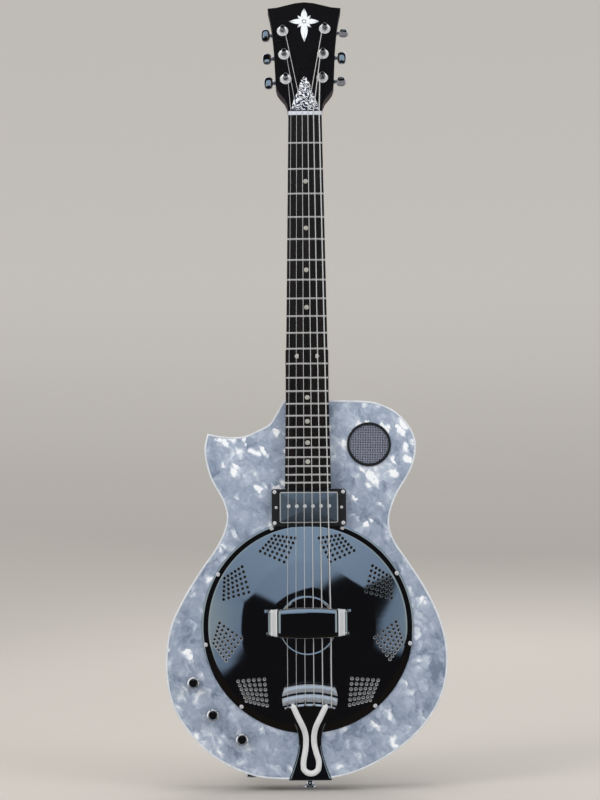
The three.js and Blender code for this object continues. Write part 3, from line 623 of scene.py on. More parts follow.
# ---- cone, biscuit and saddle ----------------------------------------------------------------
# A thin spun aluminium cone hangs in the sound well by its rim. A turned maple biscuit sits
# on its peak and carries the slotted saddle.
def spun_metal(name, tint, rough):
    """Spun sheet: fine rings about the plate's middle, from a wave on the distance to it."""
    finish = Finish(name)
    centre = (-PLATE_X / 1000, 0, -PLATE_Z / 1000)
    middle = finish.node("ShaderNodeMapping", None, {"Vector": finish.place(), "Location": centre})
    rings = finish.node("ShaderNodeTexWave", {"wave_type": "RINGS", "rings_direction": "Y"},
                        {"Vector": middle, "Scale": 160, "Distortion": 0.3})
    haze = finish.noise(finish.place(), 30, 3.0)
    finish.bump(rings, 0.00012)
    return finish.set(Base_Color=finish.mix(haze * 0.5, tint, tuple(0.8 * c for c in tint)),
                      Roughness=haze * 0.15 + rough, Metallic=1.0)


CONE_BOX = box_mm("cone")
CONE_R = (CONE_BOX[1, 0] - CONE_BOX[0, 0]) / 2
CONE_FRONT = CONE_BOX[0, 1]
CONE_SHEET = 0.45
cone_face = np.array([(0, CONE_FRONT), (26, CONE_FRONT), (104, -8.6), (107, -8.0), (111, -8.3),
                      (CONE_R, -8.3)])
cone_back = cone_face[::-1] + np.array([0, CONE_SHEET])
cone_profile = np.vstack([softened(cone_face, 3.0), softened(cone_back, 3.0)])
cone_metal = spun_metal("spun_cone", (0.42, 0.42, 0.44), 0.34)
add_piece("spun_cone", turned(cone_profile, (PLATE_X, 0, PLATE_Z), "y", 120), cone_metal,
          ("cone",))

maple = bare_wood("maple", (0.70, 0.52, 0.33), (0.52, 0.34, 0.19), (0, math.pi / 2, 0))


def eased(node, name, finish, width=0.35, steps=2, body=GUITAR, smooth=35):
    """A copy of a frame node with its doubles merged, its flat faces made whole and its
    edges eased by a bevel of the given width."""
    shape = bmesh.new()
    shape.from_mesh(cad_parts[node].data)
    bmesh.ops.remove_doubles(shape, verts=shape.verts, dist=2e-6)
    bmesh.ops.dissolve_limit(shape, angle_limit=math.radians(0.8), verts=shape.verts, edges=shape.edges)
    mesh = bpy.data.meshes.new(name)
    shape.to_mesh(mesh)
    shape.free()
    mesh.polygons.foreach_set("use_smooth", np.ones(len(mesh.polygons), bool))
    mesh.set_sharp_from_angle(angle=math.radians(smooth))
    mesh.materials.clear()
    mesh.materials.append(finish.material)
    thing = bpy.data.objects.new(name, mesh)
    bpy.context.scene.collection.objects.link(thing)
    bevel = thing.modifiers.new("eased_edges", "BEVEL")
    bevel.width = width / 1000
    bevel.segments = steps
    bevel.limit_method = "ANGLE"
    bevel.angle_limit = math.radians(smooth)
    bevel.harden_normals = True
    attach(thing, body)
    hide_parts(node)
    return thing


eased("biscuit", "maple_biscuit", maple, 0.6)
eased("saddle", "maple_saddle", maple, 0.25)


# ---- coverplate ------------------------------------------------------------------------------
# A pressed steel dish, plated bright. Its sloped border rises to a shallow dome with a raised
# ring round the middle, and eight kites of punched holes let the cone's sound out.
def chrome(name, rough=0.025, tint=(0.90, 0.91, 0.93)):
    """Bright plating: very smooth, with faint finger haze and rubbing marks."""
    finish = Finish(name)
    haze = finish.noise(finish.place(), 22, 5.0, 0.6)
    rubs = finish.noise(finish.place((1, 1, 0.12)), 800, 2.0)
    hazed = tuple(0.82 * c for c in tint)
    return finish.set(Base_Color=finish.mix(haze.step(0.4, 0.75) * 0.25, tint, hazed),
                      Roughness=haze.step(0.5, 0.8) * 0.035 + rubs * 0.012 + rough, Metallic=1.0)


def satin(name, shine=0.35, tint=(0.80, 0.83, 0.88)):
    """Brushed plating: fine scratches scatter a share of its light."""
    finish = Finish(name)
    brushed = finish.noise(finish.place((1, 1, 0.1)), 1600, 2.0)
    return finish.set(Base_Color=finish.mix(brushed, tuple(0.96 * c for c in tint), tint),
                      Roughness=brushed * 0.06 + 0.18, Metallic=shine)


bright_chrome = chrome("bright_chrome")
SADDLE_Z = box_mm("saddle")[:, 2].mean()
SHEET = 1.0
HOLE_R = 1.45
LIP_R = 2.2                  # where the sheet starts to roll into a hole
HOLE_SIDES = 14
plate_line = softened([(PLATE_R + 2, 0.9), (PLATE_R - 1.6, 1.1), (122.3, 4.2), (80, 6.9), (45, 8.35),
                       (36.2, 8.52), (35.3, 8.78), (34.6, 8.78), (33.7, 8.55), (0, 8.55)], 0.9, 6)[::-1]
KITE = np.array([(118.0, 0.0), (106.1, 23.0), (106.1, -23.0), (83.5, 0.0)])
KITE_TURNS = np.radians([-140, -100, -60, -20, 20, 60, 100, 140])


def rise(distance):
    """The plate's height above the top at a distance from its middle."""
    return np.interp(distance, plate_line[:, 0], plate_line[:, 1])


def on_plate(flat, lift=0.0):
    """Points at x and z from the plate's middle laid on its face, moved out by a lift."""
    distance = np.hypot(flat[:, 0], flat[:, 1])
    return np.stack([PLATE_X + flat[:, 0], TOP_Y - rise(distance) - lift, PLATE_Z + flat[:, 1]], 1)


def plate_normal(flat):
    """Out of the plate: (-h' x/r, -1, -h' z/r), where h' is the slope at a distance r."""
    distance = np.maximum(np.hypot(flat[:, 0], flat[:, 1]), 1e-6)
    slope = (rise(distance + 0.4) - rise(distance - 0.4)) / 0.8
    normal = np.stack([-slope * flat[:, 0] / distance, -np.ones(len(flat)),
                       -slope * flat[:, 1] / distance], 1)
    return normal / np.linalg.norm(normal, axis=1, keepdims=True)


def kite_holes():
    """Middles of the holes: six by six between the kite's corners, weighted by (1-u)(1-v),
    u(1-v), (1-u)v and uv, in eight kites set forty degrees apart from the neck side."""
    u, v = [part.ravel()[:, None] for part in np.meshgrid(*2 * [np.linspace(0, 1, 6)])]
    spots = (1 - u) * (1 - v) * KITE[0] + u * (1 - v) * KITE[1] + (1 - u) * v * KITE[2] + u * v * KITE[3]
    turn = KITE_TURNS[:, None]
    out, along = spots[:, 0], spots[:, 1]
    x = out * np.sin(turn) + along * np.cos(turn)
    z = out * np.cos(turn) - along * np.sin(turn)
    return np.stack([x.ravel(), z.ravel()], 1)


PICKUP_BOX = box_mm("pickup_ring")
ring_middle = PICKUP_BOX.mean(0)
NOTCH_LOW = PICKUP_BOX[0, 2] - 0.4 - PLATE_Z
NOTCH_X = (PICKUP_BOX[:, 0] - PLATE_X) + (-0.4, 0.4)
SLOT_MIDDLE = np.array([-PLATE_X, SADDLE_Z - PLATE_Z])
SLOT_HALF = np.array([34.0, 13.0])


def plate_skin():
    """The dish's face as triangles over rings of points, hole rims, the saddle slot and the
    notch for the pickup frame. Returns points as x and z, triangles, and the rim count."""
    holes = kite_holes()
    turn = np.arange(HOLE_SIDES) * TAU / HOLE_SIDES
    rims = (holes[:, None] + LIP_R * np.stack([np.cos(turn), np.sin(turn)], 1)[None]).reshape(-1, 2)
    slot = rounded_box(*SLOT_HALF, 3, SLOT_MIDDLE)
    rings = np.concatenate([[PLATE_R, PLATE_R - 0.7, PLATE_R - 1.6], np.linspace(127, 124.2, 3),
                            [123.2, 122.6, 122, 121.2, 120], np.arange(116, 40, -4.0),
                            [38.4, 37, 36.3, 35.8, 35.3, 34.9, 34.5, 34.1, 33.6, 33],
                            [31.5, 29, 24, 18, 12, 6]])
    angle = np.arange(180) * TAU / 180
    cloud = (rings[:, None, None] * np.stack([np.sin(angle), np.cos(angle)], 1)[None]).reshape(-1, 2)
    far = np.min(np.linalg.norm(cloud[:, None] - holes[None], axis=2), axis=1) > LIP_R + 0.9
    in_slot = (np.abs(cloud - SLOT_MIDDLE) < SLOT_HALF + 1.5).all(1)
    in_notch = ((cloud[:, 0] > NOTCH_X[0] - 1) & (cloud[:, 0] < NOTCH_X[1] + 1)
                & (cloud[:, 1] > NOTCH_LOW - 1))
    cloud = cloud[far & ~in_slot & ~in_notch]
    corner = [math.sqrt(PLATE_R**2 - x**2) for x in NOTCH_X]
    level = np.linspace(NOTCH_X[0], NOTCH_X[1], 28)
    notch = np.vstack([[[NOTCH_X[0], corner[0]]], np.stack([level, np.full_like(level, NOTCH_LOW)], 1),
                       [[NOTCH_X[1], corner[1]]]])
    flat = np.vstack([rims, slot, notch, cloud])
    slot_start, notch_start = len(rims), len(rims) + len(slot)
    slot_edges = [(slot_start + i, slot_start + (i + 1) % len(slot)) for i in range(len(slot))]
    notch_edges = [(notch_start + i, notch_start + i + 1) for i in range(len(notch) - 1)]
    made = delaunay_2d_cdt(flat.tolist(), slot_edges + notch_edges, [], 0, 1e-5)
    order = np.array([old[0] for old in made[3]])
    triangles = order[np.array(made[2])]
    middle = flat[triangles].mean(1)
    nearest = np.min(np.linalg.norm(middle[:, None] - holes[None], axis=2), axis=1)
    from_slot = np.abs(middle - SLOT_MIDDLE)
    open_slot = (from_slot < SLOT_HALF).all(1) & (from_slot.sum(1) <= SLOT_HALF.sum() - 1.1)
    open_notch = (middle[:, 0] > NOTCH_X[0]) & (middle[:, 0] < NOTCH_X[1]) & (middle[:, 1] > NOTCH_LOW)
    kept = (nearest > LIP_R * 0.97) & ~open_slot & ~open_notch
    return flat, triangles[kept], len(rims)


def pressed_plate():
    """The face, the same face one sheet behind it with narrower holes, rolled lips between
    each pair of rims, and a wall along every other edge."""
    flat, triangles, rim_count = plate_skin()
    count = len(flat)
    holes = np.repeat(kite_holes(), HOLE_SIDES, axis=0)
    outward_step = (flat[:rim_count] - holes) / LIP_R
    narrow = flat.copy()
    narrow[:rim_count] = holes + HOLE_R * outward_step
    face, normals = on_plate(flat), plate_normal(flat)
    behind = on_plate(narrow, -SHEET)
    lips, lip_normals = [], []
    for angle in np.radians([30, 60, 90]):
        spread = HOLE_R + (LIP_R - HOLE_R) * (1 - math.sin(angle))
        lips.append(on_plate(holes + spread * outward_step, -(LIP_R - HOLE_R) * (1 - math.cos(angle))))
        into_hole = np.insert(-outward_step, 1, 0, axis=1)
        lip_normals.append(math.cos(angle) * normals[:rim_count] + math.sin(angle) * into_hole)
    points = np.vstack([face, behind, *lips])
    rim = np.arange(rim_count)
    beside = np.roll(rim.reshape(-1, HOLE_SIDES), -1, axis=1).ravel()
    starts = [0, 2 * count, 2 * count + rim_count, 2 * count + 2 * rim_count, count]
    quads = [np.stack([low + rim, low + beside, high + beside, high + rim], 1)
             for low, high in zip(starts[:-1], starts[1:])]
    edges = np.vstack([triangles[:, [0, 1]], triangles[:, [1, 2]], triangles[:, [2, 0]]])
    pair = np.sort(edges, axis=1)
    _, first, uses = np.unique(pair, axis=0, return_index=True, return_counts=True)
    border = edges[first[uses == 1]]
    border = border[~(border < rim_count).all(1)]
    quads.append(np.stack([border[:, 1], border[:, 0], border[:, 0] + count, border[:, 1] + count], 1))
    form = (points, np.vstack(quads), np.vstack([triangles, triangles[:, ::-1] + count]))
    all_normals = np.vstack([normals, np.zeros((count, 3)), *lip_normals])
    return form, all_normals


plate_plating = chrome("plate_plating")
# Painted highlight: where the lip attribute is set, the plating is made partly diffuse and rougher, so it
# shows pale.
burnished = plate_plating.node("ShaderNodeAttribute", {"attribute_name": "burnished"}, output="Fac")
plate_plating.set(Metallic=1 - burnished * 0.55, Roughness=burnished * 0.12 + 0.03)
plate_form, plate_normals = pressed_plate()
plate = add_piece("pressed_plate", plate_form, plate_plating, ("coverplate",), sharp=60)
# The hole lips carry a painted highlight: their plating turns partly diffuse so they show pale,
# most on the lower kites, least on the upper ones.
lip_share = np.zeros(len(plate_form[0]))
lip_rows = slice(-3 * len(kite_holes()) * HOLE_SIDES, None)
lip_share[lip_rows] = np.interp(plate_form[0][lip_rows, 2], [150, 215], [1.0, 0.1])
plate.data.attributes.new("burnished", "FLOAT", "POINT").data.foreach_set("value", lip_share)
tidy_plate = bmesh.new()
tidy_plate.from_mesh(plate.data)
bmesh.ops.recalc_face_normals(tidy_plate, faces=tidy_plate.faces)
tidy_plate.to_mesh(plate.data)
tidy_plate.free()
plate.data.normals_split_custom_set_from_vertices(plate_normals.tolist())


# ---- plate screws ----------------------------------------------------------------------------
# Domed screws with a socket in the head hold the plate's border to the top. They are steel
# with a satin nickel plating.
def screw(place, radius, height, axis="y", sign=-1):
    """A domed head with a small socket, its foot at a place and its dome towards the front."""
    dome = np.array([(0, 0), (radius * 0.96, 0), (radius, 0.25 * height), (radius * 0.8, 0.75 * height),
                     (radius * 0.5, height), (radius * 0.36, height), (radius * 0.28, 0.45 * height),
                     (0, 0.4 * height)])
    dome[:, 1] *= sign
    line = np.vstack([dome[:2], softened(dome[1:-1], 0.35 * radius, 3)[1:], dome[-1:]])
    return turned(line, place, axis, 20)


BORDER_R = PLATE_R - 3.1
border_height = rise(BORDER_R)
plate_screws = [screw((PLATE_X + BORDER_R * math.sin(a), TOP_Y - border_height,
                       PLATE_Z + BORDER_R * math.cos(a)), 2.7, 1.5) for a in KITE_TURNS]
screw_nickel = satin("screw_nickel", 0.35, (0.80, 0.81, 0.83))
add_piece("plate_screws", together(*plate_screws), screw_nickel)


# ---- handrest ----------------------------------------------------------------------------------
# A plated strap stands over the saddle on two bent legs. Its long edges are rolled down and
# bow outwards, and four screws hold its feet to the plate.
def facing(line):
    """Unit normals to the left of a line of points in a plane, from its mean slopes."""
    slope = np.gradient(line, axis=0)
    normal = np.stack([-slope[:, 1], slope[:, 0]], 1)
    return normal / np.linalg.norm(normal, axis=1, keepdims=True)


def evenly(line, count):
    """The same line of points walked in even steps."""
    walked = np.concatenate([[0], np.cumsum(np.linalg.norm(np.diff(line, axis=0), axis=1))])
    at = np.linspace(0, walked[-1], count)
    return np.stack([np.interp(at, walked, line[:, k]) for k in range(line.shape[1])], 1)


REST_TOP = TOP_Y - box_mm("handrest")[0, 1]
half_strap = [(53, 9.1), (46.4, 9.3), (44.6, 10.6), (38.4, REST_TOP - 3.4), (35.6, REST_TOP - 1.5),
              (18, REST_TOP - 0.85), (0, REST_TOP - 0.7)]
strap = half_strap + [(-x, h) for x, h in half_strap[-2::-1]]
strap_line = evenly(softened(strap[::-1], 3.2, 8), 140)
strap_normal = facing(strap_line)
across_strap = np.sin(np.linspace(-1, 1, 33) * math.pi / 2)
roll = np.clip((np.abs(across_strap) - 0.66) / 0.34, 0, 1)
drop = 1.15 * roll**2 + 1.0 * np.clip((roll - 0.86) / 0.14, 0, 1) ** 2
reach = np.abs(strap_line[:, 0])
strap_half = np.interp(reach, [0, 12, 22, 30, 36, 44, 53], [18.7, 18.5, 17.9, 17.2, 16.6, 15.8, 16.5])
flatness = np.interp(reach, [34, 42], [1.0, 0.30])[:, None]
REST_SHEET = 1.3


def strap_skin(sink, narrow):
    """Points across the strap at each step along it, sunk below its face along its normal."""
    sunk = -(sink + drop * flatness)
    flat = strap_line[:, None] + strap_normal[:, None] * sunk[..., None]
    return np.stack([PLATE_X + flat[..., 0], TOP_Y - flat[..., 1],
                     SADDLE_Z + (strap_half[:, None] - narrow) * across_strap[None]], -1)


strap_grid = np.concatenate([strap_skin(0, 0), strap_skin(REST_SHEET, 0.9)[:, ::-1]], axis=1)
strap_form = lofted(strap_grid)
rest_screws = [screw((PLATE_X + x, TOP_Y - 9.2, SADDLE_Z + z), 2.6, 2.3)
               for x in (-48.6, 48.6) for z in (-13.4, 13.4)]
strap_plating = chrome("strap_plating")
# The sloping legs carry a painted highlight: their plating is made mostly diffuse so they show
# white; the top and the feet stay mirror bright.
off_middle = strap_plating.axis("X") - PLATE_X / 1000
leg_highlight = off_middle.size().step(0.0372, 0.0378) * (1 - off_middle.size().step(0.0455, 0.0462))
strap_plating.set(Metallic=1 - leg_highlight * 0.72, Roughness=leg_highlight * 0.12 + 0.03)
add_piece("handrest_strap", strap_form, strap_plating, ("handrest",), sharp=50)
add_piece("handrest_screws", together(*rest_screws), bright_chrome)


# ---- tailpiece ---------------------------------------------------------------------------------
# A plated sheet is folded over the bottom edge and rises to a head with two rolled ribs and a
# row of string slots. A thick rod, bent to a wishbone, is brazed along its face.
ROW_BOW = 0.0046             # the head's rows bow down by this share of x squared
TAIL_BOX = box_mm("tailpiece")
TAIL_X = TAIL_BOX[:, 0].mean()
FOLD_Z = TAIL_BOX[0, 2] + 0.8
TAIL_SHEET = 1.6
tail_side = [(FOLD_Z, TOP_Y - TAIL_BOX[1, 1]), (FOLD_Z, 1.3), (57, 1.3), (68, 2.7), (74, 4.6), (83, 8.8),
             (98, 10.3), (104.5, 10.9), (107, 9.9), (109.5, 11.9), (113.5, 12.5), (117.6, 11.6),
             (119.2, 10.4), (120.8, 11.6), (125, 12.2), (129.5, 11.2), (132.4, 8.4)]
tail_line = evenly(softened(tail_side, 2.2, 6), 240)
tail_normal = facing(tail_line)
TAIL_HALF = [(26, FOLD_Z), (26, 14), (20.5, 28), (15.6, 43), (13.4, 56), (14, 66), (16.2, 76),
             (20, 85), (24.4, 93), (29.4, 101), (32.4, 107), (33.6, 113), (34, 118), (33.6, 123),
             (32, 128), (29.5, 132.4)]
half_table = softened([(z, x) for x, z in TAIL_HALF], 5, 4)
tail_half = np.interp(tail_line[:, 0], half_table[:, 0], half_table[:, 1])
span = np.linspace(-1, 1, 49)
span = np.sign(span) * np.abs(span) ** 0.85
lean = ROW_BOW * np.clip((tail_line[:, 0] - 92) / 16, 0, 1)[:, None]


def tail_skin(sink):
    """Points across the sheet at each step along it. The head's rows bow down by a share of
    x squared, and the sheet's edges are rolled a little."""
    flat = tail_line - tail_normal * sink
    x = tail_half[:, None] * span[None]
    z = flat[:, :1] - lean * x**2
    edge = 0.7 * np.clip((np.abs(span) - 0.9) / 0.1, 0, 1)[None] ** 2
    return np.stack([TAIL_X + x, TOP_Y - flat[:, 1:] + edge, z], -1)


STRINGS_SADDLE = 53.4
saddle_places = np.linspace(-0.5, 0.5, 6) * STRINGS_SADDLE
slot_drop = ROW_BOW * saddle_places**2
CUT_FROM, CUT_TO = TOP_Y - 30, TOP_Y - 4     # cutters through the raised head only
slots = [cut_bar((x - 1.1, CUT_FROM, 104.5 - d), (x + 1.1, CUT_TO, 111.0 - d))
         for x, d in zip(saddle_places, slot_drop)]
slots += [turned(rod(1.9, CUT_FROM, CUT_TO), (x, 0, 103.6 - d), "y", 16)
          for x, d in zip(saddle_places, slot_drop)]
slots += [turned(rod(2.4, FOLD_Z - 9, FOLD_Z + 9), (0, 0, 0), "z", 24)]
tail_form = lofted(np.concatenate([tail_skin(0), tail_skin(TAIL_SHEET)[:, ::-1]], axis=1))
TAIL_TINT = (0.74, 0.80, 0.88)
tail_plating = chrome("tail_plating", 0.06, TAIL_TINT)
off_tail = tail_plating.axis("X")
row = tail_plating.axis("Z") + off_tail * off_tail * (1000 * ROW_BOW)
on_tail_head = row.step(0.1032, 0.1042)
# Painted shade: three bands along the head's grooves are painted near black.
grooves = [row.step(low, low + 0.0006) * (1 - row.step(high, high + 0.0006))
           for low, high in ((0.1058, 0.1082), (0.1178, 0.1202), (0.1296, 0.1400))]
groove_shade = grooves[0] + grooves[1] + grooves[2]
# Painted sheen: on the head outside the grooves the plating is made partly diffuse, so it shows pale.
head_sheen = on_tail_head * (1 - groove_shade)
tail_plating.set(Base_Color=tail_plating.mix(groove_shade, TAIL_TINT, (0.10, 0.11, 0.13)),
                 Metallic=1 - head_sheen * 0.36, Roughness=head_sheen * 0.06 + 0.05)
bored("tail_plate", tail_form, slots, tail_plating, ("tailpiece",), 40)


def flowing(points, steps):
    """An open Hermite curve through points with each slope half the way between neighbours."""
    points = np.asarray(points, float)
    slope = np.gradient(points, axis=0)
    t = np.linspace(0, 1, steps, endpoint=False)[None, :, None]
    curve = hermite(points[:-1, None], points[1:, None], slope[:-1, None], slope[1:, None], t)
    return np.vstack([curve.reshape(-1, points.shape[1]), points[-1:]])


def swept(path, section, up=(0, -1, 0)):
    """A closed section carried along a path: across is the path's direction times up, and
    the section's second axis is across times the direction."""
    direction = np.gradient(path, axis=0)
    across = np.cross(direction, np.asarray(up, float))
    across /= np.linalg.norm(across, axis=1, keepdims=True)
    out = np.cross(across, direction)
    out /= np.linalg.norm(out, axis=1, keepdims=True)
    section = np.asarray(section, float)
    section = np.broadcast_to(section, (len(path),) + section.shape[-2:])
    return lofted(path[:, None] + section[..., :1] * across[:, None] + section[..., 1:] * out[:, None])


loop = np.radians(np.linspace(200, 340, 8))
WISHBONE = np.vstack([
    [(-21.6, 106), (-15.4, 92), (-8.9, 78.5), (-5.6, 68), (-5.2, 56), (-6.4, 46), (-8.2, 36)],
    np.stack([0.9 + 9.6 * np.cos(loop), 30.5 + 9.4 * np.sin(loop)], 1),
    [(10.4, 36), (7.2, 47), (5.0, 57), (4.9, 67), (7.4, 78.5), (13.4, 91), (20.4, 105.5)],
])
ROD_STEPS = 170
bone_flat = evenly(flowing(WISHBONE, 8), ROD_STEPS)
bone_height = np.interp(bone_flat[:, 1], tail_line[40:, 0], tail_line[40:, 1])
bone_path = np.stack([TAIL_X + bone_flat[:, 0], TOP_Y - bone_height, bone_flat[:, 1]], 1)
turn = np.arange(24) * TAU / 24
bone_width = np.interp(np.arange(ROD_STEPS), [0, 3, ROD_STEPS - 4, ROD_STEPS - 1], [0.35, 1, 1, 0.35])
bone_width = bone_width[:, None, None]
bone_section = np.stack([3.5 * np.cos(turn), 2.5 * np.sin(turn) + 0.4], 1)[None] * bone_width
rod_satin = satin("rod_satin", 0.34, (0.99, 0.99, 1.0))
add_piece("wishbone_rod", swept(bone_path, bone_section), rod_satin)

# Every string ends in a small bead of brass, coloured very dark, held behind its slot.
bead = softened(rod(1.9, -1.8, 1.8), 0.5, 3)
ball_ends = [turned(bead, (x, TOP_Y - 9.0, 103.4 - d), "x", 16) for x, d in zip(saddle_places, slot_drop)]
brass = Finish("brass_beads").set(Base_Color=(0.10, 0.08, 0.06), Metallic=1.0, Roughness=0.5)
add_piece("ball_ends", together(*ball_ends), brass)


# ---- strap buttons -----------------------------------------------------------------------------
# Two turned and plated buttons are screwed into the tail block and the heel.
END_BOX = box_mm("end_button")
button_profile = [(0, 0), (6.2, 0), (7.1, 0.9), (6.9, 2.3), (4.4, 4.6), (4.0, 7.6), (5.4, 10),
                  (5.5, 10.9), (2, 10.9), (2, END_BOX[1, 2] - 3), (0, END_BOX[1, 2])]
add_piece("end_strap_button", turned(softened(button_profile, 1.0, 4), (0, 0, 0), "z", 48),
          bright_chrome, ("end_button",))
HEEL_BOX = box_mm("heel_button")
HEEL_SEAT = BACK_Y - 3.7
heel_profile = [(0, HEEL_BOX[0, 1]), (1.9, HEEL_BOX[0, 1] + 1), (1.9, HEEL_SEAT), (5.4, HEEL_SEAT),
                (5.2, HEEL_SEAT + 1), (3.6, HEEL_SEAT + 4), (4.4, HEEL_SEAT + 8.5),
                (6.8, HEEL_SEAT + 10.3), (6.8, HEEL_BOX[1, 1]), (0, HEEL_BOX[1, 1])]
heel_spot = (0, 0, HEEL_BOX[:, 2].mean())
add_piece("heel_strap_button", turned(softened(heel_profile, 0.9, 4), heel_spot, "y", 48),
          bright_chrome, ("heel_button",))


# ---- neck --------------------------------------------------------------------------------------
# The neck and headstock are one piece of mahogany, stained very dark and finished in satin,
# with a bolted heel and a pocket for the rod's nut.
dark_stain = bare_wood("stained_mahogany", (0.055, 0.022, 0.014), (0.022, 0.009, 0.007))
dark_stain.set(Coat_Weight=0.25, Coat_Roughness=0.25)
eased("neck", "mahogany_neck", dark_stain, 0.9, 3, smooth=40)

plain_steel = chrome("plain_steel", 0.28, (0.60, 0.61, 0.63))
finished(plain_steel, "truss_rod", "neck_bolt_front", "neck_bolt_back")


# ---- fingerboard, frets and markers --------------------------------------------------------------
# A dark rosewood board, gently round across its width, holds nickel frets and pearl dots. The
# frets divide the string's length by the twelfth root of two.
BOARD_BOX = box_mm("fingerboard")
BOARD_END, NUT_Z = BOARD_BOX[:, 2]
BOARD_BACK = BOARD_BOX[1, 1]
BOARD_FACE = BOARD_BOX[0, 1] + 1.0
END_HALF = BOARD_BOX[1, 0]
NUT_HALF = box_mm("nut")[1, 0]
STRING_LENGTH = 628.65
BOARD_RADIUS = 305.0


def board_half(z):
    """Half the board's width at a height, on a straight taper."""
    return NUT_HALF + (END_HALF - NUT_HALF) * (NUT_Z - z) / (NUT_Z - BOARD_END)


def crown(x):
    """How far the round playing face has dropped at x from the middle: x^2 / 2R."""
    return x**2 / (2 * BOARD_RADIUS)


rosewood = Finish("rosewood")
pores = rosewood.noise(rosewood.place((420, 420, 26)), 5, 3.0, 0.6)
streak = rosewood.noise(rosewood.place((60, 60, 2.2)), 3.0, 4.0, 0.6, 0.6)
rosewood.bump(pores.step(0.35, 0.5), 0.00012)
rosewood.set(Base_Color=rosewood.mix(streak.step(0.3, 0.75), (0.006, 0.005, 0.005), (0.017, 0.012, 0.011)),
             Roughness=0.52 - pores.step(0.35, 0.55) * 0.12)
EASE = 0.6
board_across = np.linspace(-1, 1, 17)
edge_drop = 0.5 * np.clip((abs(board_across) - 0.95) / 0.05, 0, 1) ** 2
board_rows = []
for z, pull in ((BOARD_END, EASE), (BOARD_END + 0.25, 0.2), (BOARD_END + EASE, 0),
                (NUT_Z - 0.1, 0), (NUT_Z, 0.1)):
    x = (board_half(z) - pull * 0.5) * board_across
    face = np.stack([x, BOARD_FACE + crown(x) + pull + edge_drop, np.full_like(x, z)], 1)
    under = np.stack([x[::-1], np.full_like(x, BOARD_BACK), np.full_like(x, z)], 1)
    board_rows.append(np.vstack([face, under]))
add_piece("rosewood_board", lofted(np.stack(board_rows)), rosewood, ("fingerboard",))


def fret_z(number):
    """Height of the nth fret: the string from it down to the saddle is L / 2^(n/12) long."""
    return NUT_Z - STRING_LENGTH * (1 - 2 ** (-number / 12))


FRETS = 23
fret_arc = np.linspace(0, math.pi, 9)
fret_dome = np.stack([1.15 * np.cos(fret_arc), 0.92 * np.sin(fret_arc)], 1)
fret_section = np.vstack([fret_dome, [(-1.15, -0.4), (1.15, -0.4)]])
fret_metal = satin("fret_nickel", 0.55, (0.80, 0.79, 0.77))
fret_bars = []
for number in range(1, FRETS + 1):
    z = fret_z(number)
    half = board_half(z) - 0.35
    x = np.array([-1, -0.985, -0.96, *np.linspace(-0.9, 0.9, 11), 0.96, 0.985, 1]) * half
    slim = np.interp(np.abs(x) / half, [0.95, 0.985, 1.0], [1, 0.85, 0.35])[:, None, None]
    path = np.stack([x, BOARD_FACE + crown(x), np.full(len(x), z)], 1)
    tall = fret_section[None, :, 1:] * slim
    wide = np.broadcast_to(fret_section[None, :, :1], tall.shape)
    fret_bars.append(swept(path, np.concatenate([wide, tall], 2)))
add_piece("frets", together(*fret_bars), fret_metal, sharp=50)


def pearl(name, light=(0.86, 0.88, 0.90), shade=(0.60, 0.66, 0.72)):
    """Shell pearl: soft bands of light in stretched, bent noise under a clear gloss."""
    finish = Finish(name)
    bands = finish.noise(finish.place((160, 160, 60)), 2.2, 3.0, 0.6, 2.5)
    glow = tuple(1.08 * c for c in light)
    return finish.set(Base_Color=finish.ramp(bands, (0.3, shade), (0.6, light), (0.8, glow)),
                      Roughness=0.18, Coat_Weight=0.8)


shell_pearl = pearl("shell_pearl", (0.52, 0.50, 0.45), (0.36, 0.35, 0.32))
DOT_R = 3.0
DOT_SPOTS = ((3, 0), (5, 0), (7, 0), (9, 0), (12, -12.2), (12, 12.2), (15, 0), (17, 0), (19, 0), (21, 0))
dots = []
for number, x in DOT_SPOTS:
    z = (fret_z(number - 1) + fret_z(number)) / 2
    face = BOARD_FACE + crown(x) - 0.06
    dot = [(0, face), (DOT_R - 0.2, face), (DOT_R, face + 0.12), (DOT_R, face + 1.2), (0, face + 1.2)]
    dots.append(turned(dot, (x, 0, z), "y", 32))
add_piece("pearl_dots", together(*dots), shell_pearl)

bone = Finish("bone")
bone_mottle = bone.noise(bone.place(), 220, 3.0)
bone.set(Base_Color=bone.mix(bone_mottle, (0.70, 0.73, 0.80), (0.58, 0.61, 0.67)),
         Roughness=0.35, Coat_Weight=0.3)
eased("nut", "bone_nut", bone, 0.7, 3)


# ---- headstock face and inlays ---------------------------------------------------------------
# A thin black veneer faces the headstock, which leans back from the nut. Pearl leaves are let
# into it, and an engraved pearl cover closes the pocket over the truss rod.
HEAD_TILT = math.radians(14)
HEAD_FOOT = np.array([0, BOARD_BACK - 1.2, box_mm("nut")[1, 2] + 0.6])


def on_head(points):
    """Points drawn as x, depth behind the headstock's face and distance up it, leaned back
    by the headstock's tilt and set at its foot."""
    x, depth, up = np.moveaxis(points, -1, 0)
    y = depth * math.cos(HEAD_TILT) + up * math.sin(HEAD_TILT)
    z = up * math.cos(HEAD_TILT) - depth * math.sin(HEAD_TILT)
    return np.stack([x, y, z], -1) + HEAD_FOOT


def leaned(form):
    """A form drawn on the headstock's face, set in its place."""
    return on_head(form[0]), form[1], form[2]


def shrunk(outline, distance):
    """A small outline moved in along its normals, point by point."""
    return outline + distance * inner_normals(outline)


def cut_sheet(outline, profile):
    """A flat piece of an outline, with its edge profile of inset and depth, closed across
    both faces to its own middle."""
    middle = outline.mean(0)
    ends = [[middle[0], profile[0][1], middle[1]], [middle[0], profile[-1][1], middle[1]]]
    return lofted(carried(outline, np.asarray(profile, float), shrunk), ends=ends)


eased("headstock_face", "head_veneer", lacquer("head_lacquer"), 0.4, 2)
INLAY = [(1.0, -0.10), (0.15, -0.10), (0, -0.02), (0, 0.6), (1.0, 0.6)]
LEAF_STEPS = 40


